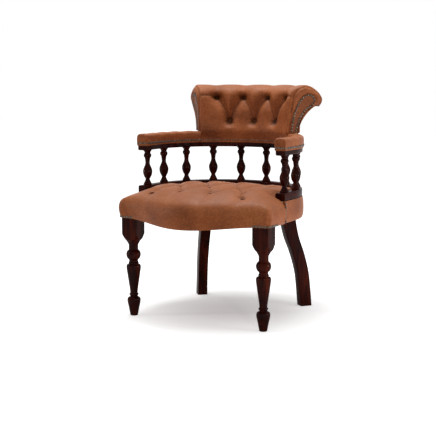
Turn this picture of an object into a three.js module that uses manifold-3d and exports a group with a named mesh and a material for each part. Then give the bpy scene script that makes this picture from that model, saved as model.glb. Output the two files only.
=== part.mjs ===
// Captain's chair: buttoned seat and scrolled back, turned front legs, ten turned spindles.
// Millimetres. X runs across the chair, Y to its rear and Z up.
// The front legs stand on y = 0 while the chair is built, and the rear of the chair is a
// half circle about the point (0, bowCentreY), which every curved piece shares.
import * as THREE from 'three';
import { mergeVertices } from 'three/addons/utils/BufferGeometryUtils.js';
import Module from 'manifold-3d';

const wasm = await Module();
wasm.setup();

// Clearances
const fit = 0.3;
const weld = 0.0001;
const overrun = 60;

// Bows: the lower one carries the spindles, the upper one is the arm rail
const bowRadius = 275;
const bowWidth = 36;
const bowCentreY = 182;
const bowFrontY = 92;
const bowEdge = 5;
const lowerBowBottom = 435;
const bowThickness = 27;
const tongueWidth = 30;
const tongueHeight = 10;
const bowJointAngle = Math.PI / 4;
const arcSteps = 7;

// Spindles
const spindleHeight = 128;
const spindlesEachSide = 5;
const spindleRadius = 17;
const tenonRadius = 8;
const tenonLength = 13;

// Front legs
const legInset = 4.5;
const legBlock = 60;
const pommelBottom = 259;
const pommelTop = 301;
const turnedRadius = 26.2;

// Rear legs
const rearLegAngle = 49.5 * Math.PI / 180;
const rearLegInset = 13;
const rearFootSplay = 78.5;
const rearLegDeep = 50;
const rearFootDeep = 44;
const rearLegWide = 40;
const rearFootWide = 37;
const rearLegChamfer = 3;

// Seat frame
const railThickness = 25;
const sideRailDepth = 69;
const frontRailDepth = 39;
const bandPad = 6.5;
const frontBulge = 80;
const frontDip = 15;
const bulgeSharpness = 0.8;
const railTenonThickness = 10;
const railTenonHeight = 26;
const railTenonLength = 18;
const cornerBlockHeight = 36;
const frontBraceReach = 48;
const rearBraceDepth = 40;
const rearBraceHalfAngle = 14 * Math.PI / 180;

// Webbing, dust cover and stuffing
const webWidth = 50;
const webThickness = 2;
const webSpacing = 100;
const webLap = 15;
const crossWebFront = 70;
const crossWebSpacing = 80;
const dustThickness = 1.5;
const dustInset = 14;
const stuffingGap = 1.5;

// Seat pad
const padLeather = 6;
const padHang = 8;
const padRise = 20;
const crownY = 190;
const crownFrontDrop = 38;
const crownRearDrop = 30;
const crownSideDrop = 25;
const padRollReach = 34;
const padCornerRadius = 16;
const padCornerSoftening = 0.5;
const tuftPitch = 119;
const tuftRowPitch = 95;
const tuftRowY = 0;
const tuftRows = 3;
const tuftDepth = 20;
const tuftSpread = 26;
const pleatDepth = 6;
const pleatSpread = 13;

// Buttons
const buttonRadius = 8;
const buttonHeight = 5;
const buttonSides = 8;
const wellDepth = 20;

// Arm pads and back
const leatherLap = 3.5;
const leatherLapHeight = 10;
const armPadHeight = 44;
const armPadNose = 4;
const armPadRound = 14;
const backHeight = 218;
const scrollReach = 114;
const backEndRound = 14;
const backTuftDepth = 17;
const backTuftSpread = 17;
const backPleatDepth = 5;
const backPleatSpread = 9;
const facingThickness = 3;
const facingEdge = 1.5;
const facingPanelThickness = 1.5;
const uprightThickness = 20;
const topRailRadius = 17;

// Materials
const wood = new THREE.MeshStandardMaterial({ color: 0x2a0d08, roughness: 0.28, metalness: 0 });
const beech = new THREE.MeshStandardMaterial({ color: 0xc9a277, roughness: 0.7, metalness: 0 });
const leather = new THREE.MeshStandardMaterial({ color: 0x9a5a3c, roughness: 0.5, metalness: 0 });
const jute = new THREE.MeshStandardMaterial({ color: 0x8c7650, roughness: 0.95, metalness: 0 });
const cambric = new THREE.MeshStandardMaterial({ color: 0x191919, roughness: 0.95, metalness: 0 });

// Values that several pieces share
const bowInner = bowRadius - bowWidth / 2;
const bowOuter = bowRadius + bowWidth / 2;
const railOuter = bowOuter - bandPad;
const railInner = railOuter - railThickness;
const railTop = lowerBowBottom - fit;
const railBottom = lowerBowBottom - sideRailDepth;
const frontRailTop = railBottom + frontRailDepth;
const lowerBowTop = lowerBowBottom + bowThickness;
const upperBowBottom = lowerBowTop + spindleHeight;
const upperBowTop = upperBowBottom + bowThickness;
const padBottom = railBottom - padHang;
const padCrown = lowerBowTop + padRise;
const quarterBow = bowRadius * Math.PI / 2;
const halfBow = quarterBow + bowCentreY - bowFrontY;
const spindlePitch = (halfBow - bowWidth) / (spindlesEachSide - 0.5);
const legHalf = legBlock / 2;
const legX = bowOuter - legInset - legHalf;
const rearLegTopRadius = bowRadius - rearLegInset;
const rearFootRadius = rearLegTopRadius + rearFootSplay;
const backBase = upperBowTop - leatherLapHeight;
const armPadTop = backBase + armPadHeight;
const lapOuter = bowOuter + leatherLap + fit;

// Curved pieces are made of flat facets, and a facet's middle lies inside its circle by this
const chordSag = bowOuter * (1 - Math.cos(Math.PI / 16 / arcSteps * 2));
const curveFit = fit + chordSag;

const group = new THREE.Group();

function addPiece(name, geometry, material) {
  const shape = geometry.index ? geometry.toNonIndexed() : geometry;
  const mesh = new THREE.Mesh(shape, material.clone());
  mesh.name = name;
  group.add(mesh);
}

// Solids from meshes and back
function toSolid(geometry) {
  const bare = geometry.clone();
  bare.deleteAttribute('normal');
  bare.deleteAttribute('uv');
  const merged = mergeVertices(bare, weld);
  const vertProperties = new Float32Array(merged.attributes.position.array);
  const triVerts = new Uint32Array(merged.index.array);
  return new wasm.Manifold(new wasm.Mesh({ numProp: 3, vertProperties, triVerts }));
}

function toGeometry(solid) {
  const mesh = solid.getMesh();
  const geometry = new THREE.BufferGeometry();
  geometry.setAttribute('position', new THREE.BufferAttribute(mesh.vertProperties, 3));
  geometry.setIndex(new THREE.BufferAttribute(mesh.triVerts, 1));
  return geometry;
}

// A closed body through rings of points, each end capped by its flat outline
function loft(rings, startOutline, endOutline) {
  const count = rings[0].length;
  const points = rings.flat();
  const faces = [];
  for (let k = 0; k + 1 < rings.length; k += 1) {
    for (let i = 0; i < count; i += 1) {
      const j = (i + 1) % count;
      const a = k * count + i;
      const b = k * count + j;
      faces.push([a, b, b + count], [a, b + count, a + count]);
    }
  }
  const last = (rings.length - 1) * count;
  capFaces(startOutline).forEach(([a, b, c]) => faces.push([a, c, b]));
  capFaces(endOutline ?? startOutline).forEach(([a, b, c]) => {
    faces.push([last + a, last + b, last + c]);
  });
  return closedGeometry(points, faces);
}

function capFaces(outline) {
  const turn = Math.sign(THREE.ShapeUtils.area(outline));
  return THREE.ShapeUtils.triangulateShape(outline, []).map(([a, b, c]) => {
    const same = Math.sign(THREE.ShapeUtils.area([outline[a], outline[b], outline[c]])) === turn;
    return same ? [a, b, c] : [a, c, b];
  });
}

// Faces are turned round where the body came out inside out
function closedGeometry(points, faces) {
  let volume = 0;
  const cross = new THREE.Vector3();
  faces.forEach(([a, b, c]) => {
    volume += points[a].dot(cross.crossVectors(points[b], points[c]));
  });
  const index = faces.flatMap(([a, b, c]) => (volume > 0 ? [a, b, c] : [a, c, b]));
  const geometry = new THREE.BufferGeometry().setFromPoints(points);
  geometry.setIndex(index);
  return geometry;
}

// Stations along the half circle. A profile point is (distance from the centre line of the
// chair or from the circle's centre, height).
function arcStation(angle) {
  return { origin: [0, bowCentreY], out: [Math.cos(angle), Math.sin(angle)] };
}

function straightStation(y) {
  return { origin: [0, y], out: [1, 0] };
}

function place(station, point, side) {
  const x = station.origin[0] + station.out[0] * point.x;
  const y = station.origin[1] + station.out[1] * point.x;
  return new THREE.Vector3(side * x, y, point.y);
}

function sweep(stations, outline, side = 1) {
  return loft(stations.map((station) => outline.map((point) => place(station, point, side))), outline);
}

function between(start, end, steps) {
  return Array.from({ length: steps + 1 }, (_, i) => start + (end - start) * i / steps);
}

function sideStations(frontY, endAngle, steps) {
  const arc = between(0, endAngle, steps).map(arcStation);
  return [straightStation(frontY), ...arc];
}

function backStations(halfAngle, steps) {
  return between(Math.PI / 2 - halfAngle, Math.PI / 2 + halfAngle, steps).map(arcStation);
}

// Where a length along the bow, counted from the rear centre, falls in plan
function alongBow(length) {
  if (length <= quarterBow) {
    const angle = Math.PI / 2 - length / bowRadius;
    return [bowRadius * Math.cos(angle), bowCentreY + bowRadius * Math.sin(angle)];
  }
  return [bowRadius, bowCentreY - (length - quarterBow)];
}

function rectangle(left, right, bottom, top) {
  return [[left, bottom], [right, bottom], [right, top], [left, top]].map(toPoint);
}

function toPoint([x, y]) {
  return new THREE.Vector2(x, y);
}

// A block with its lowest and highest corners
function block(low, high) {
  const size = high.map((value, i) => value - low[i]);
  const centre = high.map((value, i) => (value + low[i]) / 2);
  return new THREE.BoxGeometry(...size).translate(...centre);
}

function upright(radius, bottom, top, x, y, sides) {
  const geometry = new THREE.CylinderGeometry(radius, radius, top - bottom, sides);
  return geometry.rotateX(Math.PI / 2).translate(x, y, (bottom + top) / 2);
}

function turned(profile, sides) {
  return new THREE.LatheGeometry(profile.map(toPoint), sides).rotateX(Math.PI / 2);
}

function extruded(points, bottom, top) {
  const shape = new THREE.Shape(points.map(toPoint));
  const geometry = new THREE.ExtrudeGeometry(shape, { depth: top - bottom, bevelEnabled: false });
  return geometry.translate(0, 0, bottom);
}

// Spindles: radii as shares of the bulb, heights as shares of the visible length
const spindleShares = [
  [0.91, 0], [0.88, 0.03], [0.62, 0.1], [0.46, 0.16], [0.62, 0.2], [0.86, 0.27],
  [1, 0.36], [0.96, 0.44], [0.72, 0.52], [0.52, 0.59], [0.48, 0.65], [0.56, 0.73],
  [0.74, 0.8], [0.83, 0.845], [0.74, 0.885], [0.62, 0.91], [0.7, 0.95], [0.9, 1],
];
const spindleSides = 10;
const spindleSpots = Array.from({ length: spindlesEachSide }, (_, k) => (
  alongBow((k + 0.5) * spindlePitch)
)).reverse();

function makeSpindle() {
  const bottom = lowerBowTop + fit;
  const length = upperBowBottom - fit - bottom;
  const body = spindleShares.map(([radius, height]) => [
    radius * spindleRadius, bottom + height * length,
  ]);
  const tenonBottom = [[0, bottom - tenonLength], [tenonRadius, bottom - tenonLength]];
  const tenonTop = [[tenonRadius, bottom + length + tenonLength], [0, bottom + length + tenonLength]];
  const profile = [
    ...tenonBottom, [tenonRadius, bottom], ...body, [tenonRadius, bottom + length], ...tenonTop,
  ];
  return turned(profile, spindleSides);
}

spindleSpots.forEach(([x, y], k) => {
  addPiece(`spindle_left_${k + 1}`, makeSpindle().translate(-x, y, 0), wood);
});
spindleSpots.forEach(([x, y], k) => {
  addPiece(`spindle_right_${k + 1}`, makeSpindle().translate(x, y, 0), wood);
});

// Bows: rounded rail section, and a tongue on the upper one that the padding is pulled over
function bowSection(bottom, top) {
  const inner = bowInner;
  const outer = bowOuter;
  const edge = bowEdge;
  const soft = edge * (1 - Math.SQRT1_2);
  return [
    [inner + edge, bottom], [outer - edge, bottom], [outer - soft, bottom + soft],
    [outer, bottom + edge], [outer, top - edge], [outer - soft, top - soft], [outer - edge, top],
    [inner + edge, top], [inner + soft, top - soft], [inner, top - edge],
    [inner, bottom + edge], [inner + soft, bottom + soft],
  ].map(toPoint);
}

function tongueSection(gap) {
  const half = tongueWidth / 2 + gap;
  const side = bowWidth / 2 + gap;
  const edge = bowEdge;
  const soft = edge * (1 - Math.SQRT1_2);
  const low = upperBowBottom - gap;
  return [
    [-side + edge, low], [side - edge, low], [side - soft, low + soft], [side, low + edge],
    [side, upperBowTop + gap], [half, upperBowTop + gap],
    [half, upperBowTop + tongueHeight + gap], [-half, upperBowTop + tongueHeight + gap],
    [-half, upperBowTop + gap], [-side, upperBowTop + gap], [-side, low + edge],
    [-side + soft, low + soft],
  ].map(([x, z]) => new THREE.Vector2(bowRadius + x, z));
}

const socketSides = 12;
function sockets(bottom, top, side) {
  return spindleSpots.map(([x, y]) => (
    toSolid(upright(tenonRadius + fit, bottom, top, side * x, y, socketSides))
  ));
}

// Half of the joint's gap is taken off each segment
const jointGap = fit / 2 / bowRadius;
function makeBow(name, outline, socketBottom, socketTop) {
  const arms = sideStations(bowFrontY, bowJointAngle - jointGap, arcSteps);
  const back = backStations(Math.PI / 2 - bowJointAngle - jointGap, arcSteps * 2);
  const right = sockets(socketBottom, socketTop, 1);
  const left = sockets(socketBottom, socketTop, -1);
  const pieces = [
    [`${name}_left`, sweep(arms, outline, -1), left],
    [`${name}_back`, sweep(back, outline), [...left, ...right]],
    [`${name}_right`, sweep(arms, outline), right],
  ];
  pieces.forEach(([title, geometry, holes]) => {
    const bored = holes.reduce((solid, hole) => solid.subtract(hole), toSolid(geometry));
    addPiece(title, toGeometry(bored), wood);
  });
}

const socketDepth = tenonLength + fit;
makeBow(
  'lower_bow', bowSection(lowerBowBottom, lowerBowTop),
  lowerBowTop - socketDepth, lowerBowTop + overrun,
);
makeBow(
  'upper_bow', tongueSection(0),
  upperBowBottom - overrun, upperBowBottom + socketDepth,
);

// Front legs: a turning cut out of a square block. Radii are shares of the turned radius and
// heights are shares of the turned length below the pommel.
const frontLegShares = [
  [0.48, 0], [0.52, 0.012], [0.72, 0.11], [0.88, 0.185], [0.915, 0.22], [0.84, 0.25],
  [0.55, 0.268], [0.53, 0.278], [0.62, 0.29], [0.64, 0.3], [0.6, 0.31], [0.52, 0.323],
  [0.6, 0.4], [0.78, 0.52], [0.94, 0.63], [1, 0.685], [0.98, 0.708], [0.9, 0.722],
  [0.68, 0.73], [0.7, 0.745], [0.64, 0.76], [0.61, 0.775], [0.66, 0.792], [0.9, 0.815],
  [1, 0.862], [0.9, 0.905], [0.68, 0.925], [0.65, 0.95], [0.66, 1],
];
const pommelShares = [[0.08, 0.1], [0.3, 0.3], [0.6, 0.52], [1, 1]];
const legSides = 16;

function railTenon(gap) {
  const reach = railTenonLength + gap;
  const half = railTenonThickness / 2 + gap;
  const middle = (frontRailTop + railBottom) / 2;
  const tall = railTenonHeight / 2 + gap;
  const inset = railThickness / 2;
  const front = block(
    [legX - legHalf - fit, -legHalf + inset - half, middle - tall],
    [legX - legHalf + reach, -legHalf + inset + half, middle + tall],
  );
  const flank = block(
    [railOuter - inset - half, legHalf - reach, middle - tall],
    [railOuter - inset + half, legHalf + fit, middle + tall],
  );
  return { front: toSolid(front), flank: toSolid(flank) };
}

function mirrored(solid, side) {
  return side < 0 ? solid.scale([-1, 1, 1]) : solid;
}

function makeFrontLeg(side) {
  const corner = legHalf * Math.SQRT2;
  const neck = turnedRadius * frontLegShares.at(-1)[0];
  const turning = frontLegShares.map(([radius, height]) => [
    radius * turnedRadius, pommelBottom * height,
  ]);
  const pommel = pommelShares.map(([out, up]) => [
    neck + (corner - neck) * out, pommelBottom + (pommelTop - pommelBottom) * up,
  ]);
  const wide = corner + fit;
  const profile = [
    [0, 0], ...turning, ...pommel, [wide, pommelTop], [wide, frontRailTop], [0, frontRailTop],
  ];
  const body = toSolid(turned(profile, legSides).translate(legX, 0, 0));
  const square = toSolid(block([legX - legHalf, -legHalf, 0], [legX + legHalf, legHalf, frontRailTop]));
  const tenon = railTenon(fit);
  const cut = body.intersect(square).subtract(tenon.front).subtract(tenon.flank);
  return toGeometry(mirrored(cut, side));
}

addPiece('front_leg_left', makeFrontLeg(-1), wood);
addPiece('front_leg_right', makeFrontLeg(1), wood);

// Rear legs: square sabre legs that lean out on the diagonal. Heights are shares of the leg's
// height, and the sweep is a share of the way from the top out to the foot.
const sabreShares = [
  [0, 1], [0.13, 0.936], [0.3, 0.815], [0.465, 0.56], [0.594, 0.285], [0.714, 0.115],
  [0.83, 0.03], [1, 0],
];
const sabreSteps = 14;
const sabreCurve = new THREE.SplineCurve(sabreShares.map(toPoint));

function rearLegRing(heightShare, sweepShare, gap) {
  const centre = rearLegTopRadius + (rearFootRadius - rearLegTopRadius) * sweepShare;
  const deep = (rearLegDeep + (rearFootDeep - rearLegDeep) * sweepShare) / 2 + gap;
  const wide = (rearLegWide + (rearFootWide - rearLegWide) * sweepShare) / 2 + gap;
  const c = rearLegChamfer;
  const corners = [
    [-deep + c, -wide], [deep - c, -wide], [deep, -wide + c], [deep, wide - c],
    [deep - c, wide], [-deep + c, wide], [-deep, wide - c], [-deep, -wide + c],
  ];
  const z = railTop * heightShare;
  const out = [Math.cos(rearLegAngle), Math.sin(rearLegAngle)];
  return corners.map(([r, t]) => new THREE.Vector3(
    out[0] * (centre + r) - out[1] * t, bowCentreY + out[1] * (centre + r) + out[0] * t, z,
  ));
}

function rearLegSolid(gap) {
  const rings = between(0, 1, sabreSteps).map((t) => {
    const point = sabreCurve.getPoint(t);
    return rearLegRing(point.x, point.y, gap);
  });
  const cap = rings[0].map((point) => new THREE.Vector2(point.x, point.y));
  return toSolid(loft(rings, cap));
}

const rearLeg = rearLegSolid(0);
const rearLegRoom = rearLegSolid(fit);
addPiece('rear_leg_left', toGeometry(mirrored(rearLeg, -1)), wood);
addPiece('rear_leg_right', toGeometry(rearLeg), wood);

// Seat frame: the front rail is a serpentine whose middle bulges forward and hangs lower
function serpentine(x) {
  const share = Math.min(Math.abs(x) / legX, 1);
  return ((1 + Math.cos(Math.PI * share)) / 2) ** bulgeSharpness;
}

function frontFace(x) {
  return -legHalf - frontBulge * serpentine(x);
}

function frontRailBack(x) {
  return frontFace(x) + railThickness;
}

const serpentineSteps = 16;
function makeFrontRail() {
  const half = legX - legHalf - fit;
  const rings = between(-half, half, serpentineSteps).map((x) => {
    const low = railBottom - frontDip * serpentine(x);
    return [
      new THREE.Vector3(x, frontFace(x), low), new THREE.Vector3(x, frontRailBack(x), low),
      new THREE.Vector3(x, frontRailBack(x), frontRailTop),
      new THREE.Vector3(x, frontFace(x), frontRailTop),
    ];
  });
  const rail = toSolid(loft(rings, rectangle(0, railThickness, railBottom, frontRailTop)));
  const tenon = railTenon(0).front;
  return toGeometry(rail.add(tenon).add(mirrored(tenon, -1)));
}

function makeSideRail(side) {
  const outline = rectangle(railInner, railOuter, railBottom, railTop);
  const rail = toSolid(sweep(sideStations(legHalf + fit, rearLegAngle, 8), outline));
  const notch = toSolid(block(
    [0, 0, frontRailTop], [railOuter + overrun, bowFrontY - fit, railTop + overrun],
  ));
  const shaped = rail.subtract(notch).subtract(rearLegRoom).add(railTenon(0).flank);
  return toGeometry(mirrored(shaped, side));
}

function makeBackRail() {
  const outline = rectangle(railInner, railOuter, railBottom, railTop);
  const rail = toSolid(sweep(backStations(Math.PI / 2 - rearLegAngle, 14), outline));
  return toGeometry(rail.subtract(rearLegRoom).subtract(mirrored(rearLegRoom, -1)));
}

addPiece('front_seat_rail', makeFrontRail(), beech);
addPiece('side_seat_rail_left', makeSideRail(-1), beech);
addPiece('side_seat_rail_right', makeSideRail(1), beech);
addPiece('back_seat_rail', makeBackRail(), beech);

// Corner blocks: angled braces behind the front legs, curved ones round the rear legs
const braceTop = frontRailTop - fit;
const braceBottom = braceTop - cornerBlockHeight;

function makeFrontBrace(side) {
  const legSide = legX - legHalf - fit;
  const alongRail = between(legSide - frontBraceReach, legSide, 4).map((x) => (
    [x, frontRailBack(x) + fit]
  ));
  const outline = [
    ...alongRail, [legSide, legHalf + fit], [railInner - fit, legHalf + fit],
    [railInner - fit, legHalf + frontBraceReach],
  ];
  return toGeometry(mirrored(toSolid(extruded(outline, braceBottom, braceTop)), side));
}

function makeRearBrace(side) {
  const outline = rectangle(railInner - rearBraceDepth, railInner - curveFit, braceBottom, braceTop);
  const arc = between(rearLegAngle - rearBraceHalfAngle, rearLegAngle + rearBraceHalfAngle, 6);
  const brace = toSolid(sweep(arc.map(arcStation), outline)).subtract(rearLegRoom);
  return toGeometry(mirrored(brace, side));
}

addPiece('corner_block_front_left', makeFrontBrace(-1), beech);
addPiece('corner_block_front_right', makeFrontBrace(1), beech);
addPiece('corner_block_rear_left', makeRearBrace(-1), beech);
addPiece('corner_block_rear_right', makeRearBrace(1), beech);

// Webbing under the rails, lengthwise strips over crosswise ones, with the dust cover below
const webTop = railBottom - fit;
const dustTop = webTop - webThickness * 2 - fit;
const webReach = railInner + webLap;

function reachAt(radius, offset) {
  return Math.sqrt(radius ** 2 - offset ** 2);
}

function makeWebbing() {
  const long = [-1, 0, 1].map((k) => {
    const middle = k * webSpacing;
    const edge = Math.abs(middle) + webWidth / 2;
    const railBehind = [-1, 0, 1].map((edgeShare) => frontRailBack(middle + edgeShare * webWidth / 2));
    const front = Math.max(...railBehind) + stuffingGap;
    return toSolid(block(
      [middle - webWidth / 2, front, webTop - webThickness],
      [middle + webWidth / 2, bowCentreY + reachAt(webReach, edge), webTop],
    ));
  });
  const cross = [0, 1, 2, 3].map((k) => {
    const middle = crossWebFront + k * crossWebSpacing;
    const beyond = Math.max(middle + webWidth / 2 - bowCentreY, 0);
    const reach = reachAt(webReach, beyond);
    return toSolid(block(
      [-reach, middle - webWidth / 2, webTop - webThickness * 2],
      [reach, middle + webWidth / 2, webTop - webThickness],
    ));
  });
  return toGeometry([...long, ...cross].reduce((all, strip) => all.add(strip)));
}

function makeDustCover() {
  const radius = railOuter - dustInset;
  const front = between(-1, 1, serpentineSteps).map((share) => {
    const x = share * (legX - legHalf - fit);
    return [x, frontRailBack(x) + fit];
  });
  const behindLeg = legHalf + fit;
  const rear = between(0, Math.PI, 20).map((angle) => (
    [radius * Math.cos(angle), bowCentreY + radius * Math.sin(angle)]
  ));
  const inside = legX - legHalf - fit;
  const outline = [
    ...front, [inside, behindLeg], [radius, behindLeg], ...rear,
    [-radius, behindLeg], [-inside, behindLeg],
  ];
  const sheet = toSolid(extruded(outline, dustTop - dustThickness, dustTop));
  return toGeometry(sheet.subtract(rearLegRoom).subtract(mirrored(rearLegRoom, -1)));
}

addPiece('seat_webbing', makeWebbing(), jute);
addPiece('dust_cover', makeDustCover(), cambric);

// Seat pad: a crowned top with buttoned tufts, cut to a rounded outline that rolls over the
// rails, then hollowed for the frame and cleared round the lower bow.
const shortRowShares = [-1, 0, 1];
const longRowShares = [-1.5, -0.5, 0.5, 1.5];
const nextRowShare = 1.5;
const seatTufts = [];
for (let row = 0; row < tuftRows; row += 1) {
  const offsets = row % 2 === 0 ? longRowShares : shortRowShares;
  offsets.forEach((k) => seatTufts.push([k * tuftPitch, tuftRowY + row * tuftRowPitch]));
}

// Pleats run from each tuft to its neighbours in the next row
function diagonals(tufts, pitch, rowPitch) {
  const lines = [];
  tufts.forEach(([x, y]) => tufts.forEach(([u, v]) => {
    const isNext = Math.abs(Math.abs(u - x) - pitch / 2) < pitch / 8;
    if (isNext && v > y && v - y < rowPitch * nextRowShare) {
      lines.push([[x, y], [u, v]]);
    }
  }));
  return lines;
}

function distanceToLine([x, y], [[ax, ay], [bx, by]]) {
  const share = ((x - ax) * (bx - ax) + (y - ay) * (by - ay)) / ((bx - ax) ** 2 + (by - ay) ** 2);
  const t = Math.min(Math.max(share, 0), 1);
  return Math.hypot(x - ax - (bx - ax) * t, y - ay - (by - ay) * t);
}

function sunk(point, tufts, lines, depth, spread, groove, grooveSpread) {
  const nearestTuft = Math.min(...tufts.map(([x, y]) => Math.hypot(point[0] - x, point[1] - y)));
  const nearestLine = Math.min(...lines.map((line) => distanceToLine(point, line)));
  const dimple = depth * Math.exp(-((nearestTuft / spread) ** 2));
  const pleat = groove * Math.exp(-((nearestLine / grooveSpread) ** 2));
  return Math.max(dimple, pleat);
}

const seatFrontY = frontFace(0) - padLeather;
const lastRowY = tuftRowY + (tuftRows - 1) * tuftRowPitch;
const seatPleats = [
  ...diagonals(seatTufts, tuftPitch, tuftRowPitch),
  ...longRowShares.flatMap((k) => [
    [[k * tuftPitch, tuftRowY], [k * tuftPitch, seatFrontY - padRollReach]],
    [[k * tuftPitch, lastRowY], [k * tuftPitch, bowCentreY + bowOuter]],
  ]),
];

function crownHeight(x, y) {
  const ahead = crownFrontDrop * ((crownY - y) / (crownY - seatFrontY)) ** 2;
  const behind = crownRearDrop * ((y - crownY) / (bowCentreY + bowInner - crownY)) ** 2;
  const across = crownSideDrop * Math.abs(x / bowInner) ** 2.2;
  return padCrown - (y < crownY ? ahead : behind) - across;
}

function seatHeight(x, y) {
  return crownHeight(x, y) - sunk(
    [x, y], seatTufts, seatPleats, tuftDepth, tuftSpread, pleatDepth, pleatSpread,
  );
}

// A grid body between a flat floor and a height for each grid point. Each cell is split along
// its lower diagonal, so that the pleats lie on edges.
function heightBody(xs, ys, height, floor) {
  const columns = xs.length;
  const rows = ys.length;
  const top = ys.flatMap((y) => xs.map((x) => new THREE.Vector3(x, y, height(x, y))));
  const base = ys.flatMap((y) => xs.map((x) => new THREE.Vector3(x, y, floor)));
  const points = [...top, ...base];
  const low = top.length;
  const faces = [];
  const quad = (a, b, c, d) => faces.push([a, b, c], [a, c, d]);
  for (let r = 0; r + 1 < rows; r += 1) {
    for (let c = 0; c + 1 < columns; c += 1) {
      const a = r * columns + c;
      const b = a + 1;
      const d = a + columns;
      const e = d + 1;
      if (top[a].z + top[e].z < top[b].z + top[d].z) {
        quad(a, b, e, d);
      } else {
        faces.push([b, e, d], [b, d, a]);
      }
    }
  }
  const rim = [];
  for (let c = 0; c + 1 < columns; c += 1) rim.push(c);
  for (let r = 0; r + 1 < rows; r += 1) rim.push((r + 1) * columns - 1);
  for (let c = columns - 1; c > 0; c -= 1) rim.push((rows - 1) * columns + c);
  for (let r = rows - 1; r > 0; r -= 1) rim.push(r * columns);
  rim.forEach((a, i) => {
    const b = rim[(i + 1) % rim.length];
    quad(low + a, low + b, b, a);
  });
  const outline = rim.map((a) => new THREE.Vector2(base[a].x, base[a].y));
  capFaces(outline).forEach(([a, b, c]) => faces.push([low + rim[a], low + rim[c], low + rim[b]]));
  return compactGeometry(points, faces);
}

// Points that no face uses are left out
function compactGeometry(points, faces) {
  const places = new Map();
  const kept = [];
  const renumber = (a) => {
    if (!places.has(a)) {
      places.set(a, kept.length);
      kept.push(points[a]);
    }
    return places.get(a);
  };
  const renumbered = faces.map((face) => face.map(renumber));
  return closedGeometry(kept, renumbered);
}

// The outline of the pad in plan, moved out by a distance: serpentine front, round corners,
// and a rear half circle that isn't drawn in, as the lower bow encloses it
const padSide = bowOuter + fit;
function padOutline(outset) {
  const rearSide = padSide + Math.max(outset, 0);
  const side = padSide + outset;
  const radius = padCornerRadius + Math.max(-outset, 0) * padCornerSoftening;
  const cornerX = side - radius;
  const cornerY = frontFace(legX) - padLeather - outset + radius;
  const frontPoints = between(-1, 1, serpentineSteps).map((share) => {
    const x = share * cornerX;
    return [x, frontFace(x) - padLeather - outset];
  });
  const corner = between(-Math.PI / 2, 0, 4).slice(1).map((angle) => (
    [cornerX + radius * Math.cos(angle), cornerY + radius * Math.sin(angle)]
  ));
  const rear = between(0, Math.PI, 12).map((angle) => (
    [rearSide * Math.cos(angle), bowCentreY + rearSide * Math.sin(angle)]
  ));
  const left = corner.map(([x, y]) => [-x, y]).reverse();
  return [...frontPoints, ...corner, [side, bowFrontY], ...rear, [-side, bowFrontY], ...left];
}

// How far the side stands out, as a share of the roll's reach, and how high that is, as a
// share of the height from the pad's lower edge to its crown
const padSideShares = [
  [0, 0], [0.12, 0.1], [0.2, 0.26], [0.16, 0.38], [0.03, 0.48], [-0.2, 0.575], [-0.62, 0.66],
  [-1.3, 0.742], [-2.2, 0.82], [-2.9, 0.9], [-3, 1.5],
];

function makePadBody() {
  const tall = padCrown - padBottom;
  const rings = padSideShares.map(([out, up]) => {
    const outline = padOutline(out * padRollReach);
    const settle = Math.max(1 - up / 0.48, 0);
    return outline.map(([x, y]) => new THREE.Vector3(
      x, y, padBottom + up * tall - frontDip * settle * serpentine(x) * (y < 0 ? 1 : 0),
    ));
  });
  const cap = padOutline(0).map(toPoint);
  const capTop = padOutline(padSideShares.at(-1)[0] * padRollReach).map(toPoint);
  return toSolid(loft(rings, cap, capTop));
}

function frameRoom() {
  const front = between(-1, 1, serpentineSteps).map((share) => {
    const x = share * (legX - legHalf);
    return [x, frontFace(x) - fit];
  });
  const legOut = legX + legHalf + fit;
  const legFront = -legHalf - fit;
  const corner = [[legX - legHalf, legFront], [legOut, legFront], [legOut, legHalf + fit]];
  const outline = [
    ...front, ...corner, [railOuter + fit, legHalf + fit],
    [railOuter + fit, bowFrontY + overrun], [-railOuter - fit, bowFrontY + overrun],
    [-railOuter - fit, legHalf + fit], ...corner.map(([x, y]) => [-x, y]).reverse(),
  ];
  const low = toSolid(extruded(outline, 0, frontRailTop + fit));
  const high = toSolid(block(
    [-padSide - overrun, bowFrontY - fit, 0],
    [padSide + overrun, bowCentreY + bowOuter + overrun, lowerBowBottom],
  ));
  return low.add(high);
}

function bowRoom() {
  const far = bowOuter + overrun;
  const near = bowInner - fit;
  const inner = between(0, Math.PI, arcSteps * 4).map((angle) => (
    [near * Math.cos(angle), bowCentreY + near * Math.sin(angle)]
  ));
  const front = bowFrontY - fit;
  const outline = [
    [near, front], [far, front], [far, bowCentreY + far], [-far, bowCentreY + far], [-far, front],
    [-near, front], ...inner.reverse(),
  ];
  return toSolid(extruded(outline, 0, padCrown + overrun));
}

// The stuffing below the leather fills the frame down to the webbing
function stuffing() {
  const inside = Math.min(railInner - rearBraceDepth, rearLegTopRadius - rearLegDeep / 2);
  const radius = inside - stuffingGap;
  const front = legHalf + frontBraceReach + stuffingGap;
  const rear = between(0, Math.PI, arcSteps * 2).map((angle) => (
    [radius * Math.cos(angle), bowCentreY + radius * Math.sin(angle)]
  ));
  const outline = [[-radius, front], [radius, front], ...rear];
  return toSolid(extruded(outline, railBottom, lowerBowBottom + fit));
}

function makeButton() {
  const profile = [
    [0, -buttonHeight / 2], [buttonRadius * 0.75, -buttonHeight / 2], [buttonRadius, 0],
    [buttonRadius * 0.7, buttonHeight * 0.35], [0, buttonHeight / 2],
  ];
  return turned(profile, buttonSides);
}

// The round well that a button lies in
function buttonRoom(matrix) {
  const radius = buttonRadius + 2 * fit;
  const well = new THREE.CylinderGeometry(radius, radius, wellDepth, buttonSides);
  well.translate(0, (wellDepth - buttonHeight) / 2 - fit, 0).rotateX(Math.PI / 2);
  return toSolid(well.applyMatrix4(matrix));
}

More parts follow.
